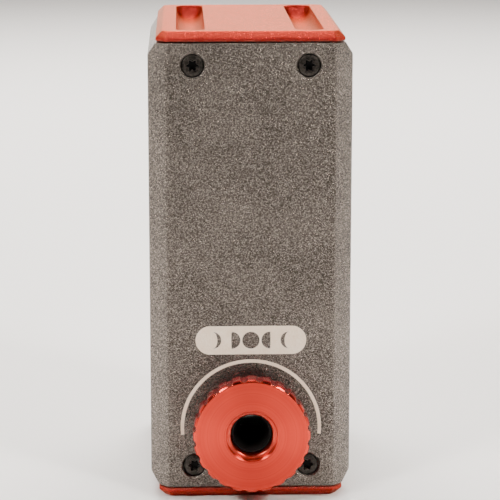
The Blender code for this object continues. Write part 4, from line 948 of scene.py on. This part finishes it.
def blade_points(number, rows=14, columns=28):
    """A twisted, cambered blade: at each radius an oval section, x along the chord and y across it
    with a parabola of camber, turned by an angle that grows outward, then wrapped round the axis."""
    share = np.linspace(0, 1, rows)[:, None]
    radius = BLADE_ROOT + (BLADE_TIP - BLADE_ROOT) * share
    chord = ROOT_CHORD + (TIP_CHORD - ROOT_CHORD) * share
    slant = ROOT_ANGLE + (TIP_ANGLE - ROOT_ANGLE) * share
    a = np.arange(columns) * 2 * math.pi / columns
    along = chord / 2 * np.cos(a)
    taper = 1 - 0.45 * share
    thick = BLADE_THICKNESS / 2 * taper * np.sin(a) * (1 - 0.45 * np.cos(a))
    across = thick + BLADE_CAMBER * chord * (1 - (2 * along / chord) ** 2)
    around = along * np.sin(slant) + across * np.cos(slant)
    forward = along * np.cos(slant) - across * np.sin(slant)
    turn = 2 * math.pi * number / BLADE_COUNT + BLADE_SWEEP * share + around / radius
    return np.stack([radius * np.cos(turn), radius * np.sin(turn), forward + HUB_DEPTH / 2], -1)


def moulded_plastic():
    """Black plastic: a spark-eroded texture, faint flow clouds and slightly polished edges."""
    made = Finish("black_plastic_moulded")
    tree = made.tree
    texture = made.group(BLAST_GRAIN, Scale=4200.0)
    wear = times(tree, made.group(EDGE_WEAR)["Mask"], 0.35)
    base = mixed(tree, made.cloud(260.0, 4.0), (0.012, 0.012, 0.013), (0.024, 0.024, 0.026))
    rough = spread(tree, texture["Sparkle"], 0.0, 1.0, 0.49, 0.37)
    return made.done(mixed(tree, wear, base, (0.1, 0.1, 0.1)),
                     maths(tree, "SUBTRACT", rough, times(tree, wear, 0.3)), texture["Height"], FINE)


BLACK_PLASTIC = moulded_plastic()
hub_line = softened([(0, HUB_DEPTH), (HUB_RADIUS, HUB_DEPTH), (HUB_RADIUS, 0), (HUB_RADIUS - HUB_WALL, 0),
                     (HUB_RADIUS - HUB_WALL, HUB_DEPTH - HUB_WALL), (0, HUB_DEPTH - HUB_WALL)], HUB_ROUND, 6)
hub = turned("rotor_moulded", hub_line, ROTOR_PLACE, REAR, 96)
shaft_hole = round_body("shaft_hole", rod(SHAFT_HOLE, -MM, HUB_DEPTH + MM), ROTOR_PLACE, REAR, 32)
blades = [skin("blade", blade_points(number) @ REAR + ROTOR_PLACE) for number in range(BLADE_COUNT)]
rotor = machined(hub, [("UNION", together("blades", blades)), ("DIFFERENCE", shaft_hole)], 40)
fit("rotor_moulded", rotor, BLACK_PLASTIC, "black_plastic", "fan_rotor", body="rotor")
ground_pin("shaft_ground", "fan_shaft", half_of("fan_shaft")[0], REAR, "rotor")


def wire_ring(radius, place):
    """A ring of round wire: circles of the wire's radius carried round the axis."""
    a = np.arange(20) * 2 * math.pi / 20
    section = np.column_stack([radius + WIRE_RADIUS * np.cos(a), WIRE_RADIUS * np.sin(a)])
    return spun(section, place, REAR, 120)


GUARD_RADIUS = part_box("fan_guard")[1].x - WIRE_RADIUS
guard_rings = [tube("wire", wire_ring(GUARD_RADIUS * share, fan_middle)) for share in GUARD_SHARES]
spokes = []
for quarter in (1, 3):
    a = quarter * math.pi / 4
    facing = np.array([(0, 1, 0), (-math.sin(a), 0, math.cos(a)), (math.cos(a), 0, math.sin(a))])
    spokes.append(round_body("spoke", rod(SPOKE_RADIUS, -GUARD_RADIUS, GUARD_RADIUS), fan_middle, facing, 20))
guard = machined(guard_rings[0], [("UNION", body) for body in (*guard_rings[1:], *spokes)], 50)
fit("guard_wires", guard, BLACK_STEEL, "black_steel", "fan_guard")


# ---- Sockets and status light ----
# The main board's sockets reach through the rear wall: a drawn steel shell round a plastic tongue
# with gilt contacts, a round power socket with its pin, and a small domed light.
SHELL_WALL, SOCKET_FLOOR = 0.3 * MM, 4.0 * MM
TONGUE_RADIUS, TONGUE_SHARE = 0.38 * MM, 0.62
CONTACT_COUNT, CONTACT_WIDTH, CONTACT_PITCH = 12, 0.16 * MM, 0.42 * MM
CONTACT_RISE = TONGUE_RADIUS + 0.03 * MM
JACK_BORE, JACK_DEPTH, JACK_PIN = 3.2 * MM, 9.0 * MM, 0.95 * MM
JACK_ROUND, LAMP_DOME = 0.35 * MM, 0.7 * MM


def seat_of(node):
    """The middle of the inner end of a node's box, where its profile starts, and the box's half size."""
    middle = middle_of(node)
    return (middle[0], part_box(node)[0].y, middle[2]), half_of(node)


data_place, data_size = seat_of("data_socket")
data_middle = middle_of("data_socket")
data_radius = data_size[2]
data_half, data_depth = data_size[0] - data_radius, 2 * data_size[1]
shell_line = softened([(0, 0), (data_radius, 0), (data_radius, data_depth),
                       (data_radius - SHELL_WALL, data_depth), (data_radius - SHELL_WALL, SOCKET_FLOOR),
                       (0, SOCKET_FLOOR)], SHELL_WALL * 0.4, 4)
socket_shell = round_body("data_socket_shell", shell_line, data_place, REAR, 64, data_half)
tongue_line = softened(rod(TONGUE_RADIUS, SOCKET_FLOOR - MM, data_depth - MM), 0.1 * MM, 4)
tongue = round_body("data_socket_tongue", tongue_line, data_place, REAR, 32, data_half * TONGUE_SHARE)
fit("data_socket_shell", socket_shell, BRIGHT_STEEL, "bright_steel", "data_socket")
fit("data_socket_tongue", tongue, BLACK_PLASTIC, "black_plastic")
contact_y = np.array([SOCKET_FLOOR, data_depth - 1.4 * MM]) + data_place[1]
contacts = []
for number in range(CONTACT_COUNT):
    x = (number - (CONTACT_COUNT - 1) / 2) * CONTACT_PITCH
    strip = rectangle(x - CONTACT_WIDTH / 2, contact_y[0], x + CONTACT_WIDTH / 2, contact_y[1])
    contacts.append(plate("contact", strip, (0, 0, data_middle[2]), UP, -CONTACT_RISE, CONTACT_RISE))
BRASS = turned_metal("brass_turned", (0.72, 0.53, 0.24), 0.28, 8000.0)
fit("data_socket_contacts", together("data_socket_contacts", contacts), BRASS, "brass")

jack_place, jack_size = seat_of("power_socket")
jack_radius, jack_length = jack_size[0], 2 * jack_size[1]
jack_line = softened([(0, 0), (jack_radius, 0), (jack_radius, jack_length), (JACK_BORE, jack_length),
                      (JACK_BORE, jack_length - JACK_DEPTH), (0, jack_length - JACK_DEPTH)], JACK_ROUND, 5)
jack = turned("power_socket_moulded", jack_line, jack_place, REAR, 72)
fit("power_socket_moulded", jack, BLACK_PLASTIC, "black_plastic", "power_socket")
pin_line = softened(rod(JACK_PIN, jack_length - JACK_DEPTH - MM, jack_length - 2 * MM), JACK_ROUND, 6)
pin = turned("power_socket_pin", pin_line, jack_place, REAR, 40)
fit("power_socket_pin", pin, BRIGHT_STEEL, "bright_steel")

light_place, light_size = seat_of("status_light")
light_radius, light_length = light_size[2], 2 * light_size[1]
dome = np.linspace(0, math.pi / 2, 10)
dome_line = zip(light_radius * np.cos(dome), light_length - LAMP_DOME * (1 - np.sin(dome)))
lens = turned("status_lens", [(0, 0), (light_radius, 0), *dome_line], light_place, REAR, 48)


def clear_lens():
    """Clear greenish resin with faint clouds in it."""
    made = Finish("clear_lens_resin", {"Transmission Weight": 0.7, "IOR": 1.5})
    return made.two_tone(made.cloud(1500.0), (0.35, 0.62, 0.38), (0.62, 0.82, 0.62), 0.10, 0.24)


fit("status_lens", lens, clear_lens(), "clear_lens", "status_light")


# ---- Inside the housing ----
# The pieces that nothing outside shows keep their machined forms: the cold chamber with its
# window, sensor and seals, the Peltier module and heat sink, the fan's frame and windings, and the
# circuit boards with their spacers, bolts and ribbon. Each gets the finish of its own stuff.
FIN_LINES = 2600.0
WINDING_SCALE = 1.0 / (20 * 0.35 * MM)  # bands that stand 2 pi times 0.35 mm apart
WIRE_DEPTH = 0.0001
TRACE_SCALE, RIBBON_SCALE = 420.0, 100.0
CHIP_CLEARANCE = 0.15 * MM


def bare_aluminium():
    """Extruded aluminium: long streaks up the die, and a thin grey skin."""
    made = Finish("bare_aluminium_extruded", {"Metallic": 1.0})
    tree = made.tree
    streak = made.noise(FIN_LINES, 3.0, (1, 1, 0.02))
    wear = made.group(EDGE_WEAR)["Mask"]
    base = mixed(tree, made.cloud(180.0, 4.0), (0.52, 0.53, 0.54), (0.76, 0.76, 0.77))
    return made.done(mixed(tree, wear, base, (0.88, 0.88, 0.88)),
                     spread(tree, streak, 0.3, 0.7, 0.30, 0.48), streak, FINE)


def copper(name, wound_centre=None):
    """Copper, milled flat, or wound as enamelled wire about its axis."""
    made = Finish(name, {"Metallic": 1.0}, wound_centre, ROUND_Y)
    if wound_centre is None:
        marks, depth = made.noise(1800.0, 3.0, (1, 0.03, 1)), FINE
    else:
        marks, depth = made.bands(WINDING_SCALE, "Z"), WIRE_DEPTH
    tarnish = made.cloud(300.0, 4.0, 0.35, 0.65)
    return made.two_tone(tarnish, (0.78, 0.36, 0.20), (0.52, 0.20, 0.10), 0.22, 0.40, marks, depth)


def rubber():
    """Black rubber with a dusty bloom."""
    made = Finish("rubber_bloomed")
    bloom = made.cloud(500.0, 5.0, 0.4)
    return made.two_tone(bloom, (0.012, 0.012, 0.012), (0.045, 0.044, 0.042), 0.62, 0.85,
                         made.noise(3000.0), 0.00004)


def glass():
    """Coated window glass with faint smears."""
    made = Finish("glass_coated", {"Transmission Weight": 1.0, "IOR": 1.5})
    smear = made.cloud(160.0, 4.0, 0.45, 0.75, stretch=(1, 1, 0.4))
    return made.two_tone(smear, (0.90, 0.96, 0.95), (0.82, 0.90, 0.92), 0.02, 0.10)


def ceramic():
    """Pressed white ceramic: fine dark specks and a slightly gritty face."""
    made = Finish("white_ceramic_pressed")
    speck = made.cloud(3500.0, 2.0, 0.62, 0.70, to_high=0.6)
    return made.done(mixed(made.tree, speck, (0.80, 0.79, 0.75), (0.42, 0.40, 0.36)),
                     made.cloud(900.0, to_low=0.38, to_high=0.55), made.noise(4200.0), VERY_FINE)


def foam():
    """Closed-cell foam: round pits of many sizes, coloured darker towards the bottom of each pit as painted
    shade.
    """
    made = Finish("grey_foam_cells", {"Sheen Weight": 0.2})
    tree = made.tree
    cells = wire(tree, "ShaderNodeTexVoronoi", {"Vector": made.place, "Scale": 1300.0})
    pit = spread(tree, cells.outputs["Distance"], 0.0, 0.6, 0.0, 1.0)
    # Painted shade: each pit is coloured darker towards its bottom.
    return made.two_tone(pit, (0.07, 0.07, 0.075), (0.23, 0.23, 0.24), 0.95, 0.8, pit, 0.0002)


def circuit_board(name, node, thickness):
    """Green lacquer over copper traces on both faces, and black chips wherever the mesh stands off
    the board's own thickness."""
    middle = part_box(node)[1].y - thickness / 2
    made = Finish(name, {"Coat Weight": 0.3, "Coat Roughness": 0.15}, (0, middle, 0))
    tree = made.tree
    upright = wire(tree, "ShaderNodeMapping", {"Vector": made.place, "Rotation": ROUND_Y}).outputs[0]
    cells = wire(tree, "ShaderNodeTexBrick", {
        "Vector": upright, "Scale": TRACE_SCALE, "Mortar Size": 0.05, "Brick Width": 0.9, "Row Height": 0.22,
        "Color1": (0.010, 0.075, 0.028, 1), "Color2": (0.016, 0.105, 0.040, 1),
        "Mortar": (0.03, 0.19, 0.07, 1)})
    off = maths(tree, "ABSOLUTE", wire(tree, "ShaderNodeSeparateXYZ", {0: made.place}).outputs["Y"])
    chip = spread(tree, off, thickness / 2 + CHIP_CLEARANCE / 2, thickness / 2 + CHIP_CLEARANCE, 0.0, 1.0)
    speck = made.noise(3200.0)
    black = mixed(tree, speck, (0.008, 0.008, 0.009), (0.03, 0.03, 0.032))
    relief = maths(tree, "ADD", cells.outputs["Fac"], times(tree, speck, 0.3))
    return made.two_tone(chip, cells.outputs["Color"], black, 0.28, 0.55, relief, FINE)


def ribbon_film():
    """Amber film with its copper lines showing through, side by side along the cable."""
    made = Finish("amber_film_lined", {"Coat Weight": 0.4, "Coat Roughness": 0.12},
                  (middle_of("sensor_ribbon")[0], 0, 0))
    line = spread(made.tree, made.bands(RIBBON_SCALE, "X"), 0.45, 0.6, 0.0, 1.0)
    film = mixed(made.tree, made.cloud(300.0, to_high=0.5), (0.46, 0.20, 0.03), (0.34, 0.14, 0.02))
    return made.two_tone(line, film, (0.72, 0.34, 0.10), 0.30, 0.40, line, FINE)


BOARD_THICKNESS, SENSOR_BOARD_THICKNESS = 1.6 * MM, 1.2 * MM
main_board_finish = circuit_board("board_green_main", "main_board", BOARD_THICKNESS)
inside = {
    "bare_aluminium": bare_aluminium(), "rubber": rubber(), "glass": glass(), "white_ceramic": ceramic(),
    "grey_foam": foam(), "amber_film": ribbon_film(), "black_plastic": BLACK_PLASTIC,
    "black_steel": BLACK_STEEL, "brass": BRASS, "copper": copper("copper_milled"),
    "black_anodised": black_anodised("black_anodised_chamber", middle_of("chamber_body")),
    "board_green": main_board_finish, "bright_steel": BRIGHT_STEEL, "pale_plastic": PALE_PLASTIC,
    "grey_anodised": GREY_ANODISED, "red_anodised": RED_CAP,
}
special = {
    "fan_stator": copper("copper_wound", middle_of("fan_stator")),
    "processor_board": circuit_board("board_green_processor", "processor_board", BOARD_THICKNESS),
    "sensor_board": circuit_board("board_green_sensor", "sensor_board", SENSOR_BOARD_THICKNESS),
}
for node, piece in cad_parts.items():
    for each in piece.material_slots:
        each.material = special.get(node) or inside.get(each.material.name, each.material)


# ---- Floor, light and camera ----
# A wide pale floor, soft lamps in front on both sides and overhead, a large one behind, a pale
# backdrop glow low behind, and the camera a little above and to the left of the object.
FLOOR_REACH = 6.0
CAMERA_PLACE = (-16.978 * MM, -549.708 * MM, 170.801 * MM)
CAMERA_PITCH, CAMERA_YAW = 0.206, 0.0326
CAMERA_LENS, CAMERA_SENSOR = 154.12, 36.0
# Each lamp's name, place, target, size, power and spread in degrees.
LAMPS = (("left_lamp", (-0.55, -0.55, 0.66), (0.0, 0.0, 0.02), 0.2, 0.33, 36),
         ("right_lamp", (0.55, -0.55, 0.66), (0.0, 0.0, 0.02), 0.2, 0.33, 36),
         ("top_lamp", (0.0, -0.12, 0.80), (0.0, 0.0, 0.1), 0.2, 0.07, 60),
         ("back_lamp", (0.0, 0.75, 0.95), (0.0, 0.45, 0.0), 0.9, 16.0, 110))
LAMP_COLOUR = (1.0, 0.95, 0.90)
# The glow's range along a direction's Y and Z, and what it runs from and to over that range.
GLOW_BEHIND, GLOW_LOW = (-0.5, 0.3, 0.02, 1.0), (0.25, 0.55, 1.0, 0.05)
GLOW_STRENGTH, GLOW_COLOUR = 2.8, (1.0, 0.94, 0.88, 1.0)

bpy.ops.mesh.primitive_plane_add(size=FLOOR_REACH)
floor = bpy.context.object
floor.name = "floor"
floor_look = Finish("pale_floor", {"Base Color": (0.92, 0.91, 0.90, 1), "Roughness": 0.8})
floor.data.materials.append(floor_look.material)


def lamp(name, place, target, size, power, spread_degrees):
    """A square soft lamp aimed at a target."""
    light = bpy.data.lights.new(name, "AREA")
    light.size, light.energy, light.color = size, power, LAMP_COLOUR
    light.spread = math.radians(spread_degrees)
    made = bpy.data.objects.new(name, light)
    bpy.context.scene.collection.objects.link(made)
    made.location = place
    made.rotation_euler = (Vector(target) - Vector(place)).to_track_quat("-Z", "Y").to_euler()


for settings in LAMPS:
    lamp(*settings)

world = bpy.data.worlds.new("studio")
bpy.context.scene.world = world
world.use_nodes = True
sky = world.node_tree
glow = sky.nodes["Background"]
way = wire(sky, "ShaderNodeSeparateXYZ", {0: wire(sky, "ShaderNodeTexCoord").outputs["Generated"]})
behind = spread(sky, way.outputs["Y"], *GLOW_BEHIND)
low_down = spread(sky, way.outputs["Z"], *GLOW_LOW)
strength = times(sky, times(sky, behind, low_down), GLOW_STRENGTH)
sky.links.new(strength, glow.inputs["Strength"])
glow.inputs["Color"].default_value = GLOW_COLOUR

camera_data = bpy.data.cameras.new("camera")
camera_data.sensor_width = CAMERA_SENSOR
camera_data.lens = CAMERA_LENS
camera_data.clip_start, camera_data.clip_end = 10 * MM, 100.0
camera = bpy.data.objects.new("camera", camera_data)
camera.location = CAMERA_PLACE
camera.rotation_euler = (math.pi / 2 - CAMERA_PITCH, 0.0, -CAMERA_YAW)
bpy.context.scene.collection.objects.link(camera)
bpy.context.scene.camera = camera
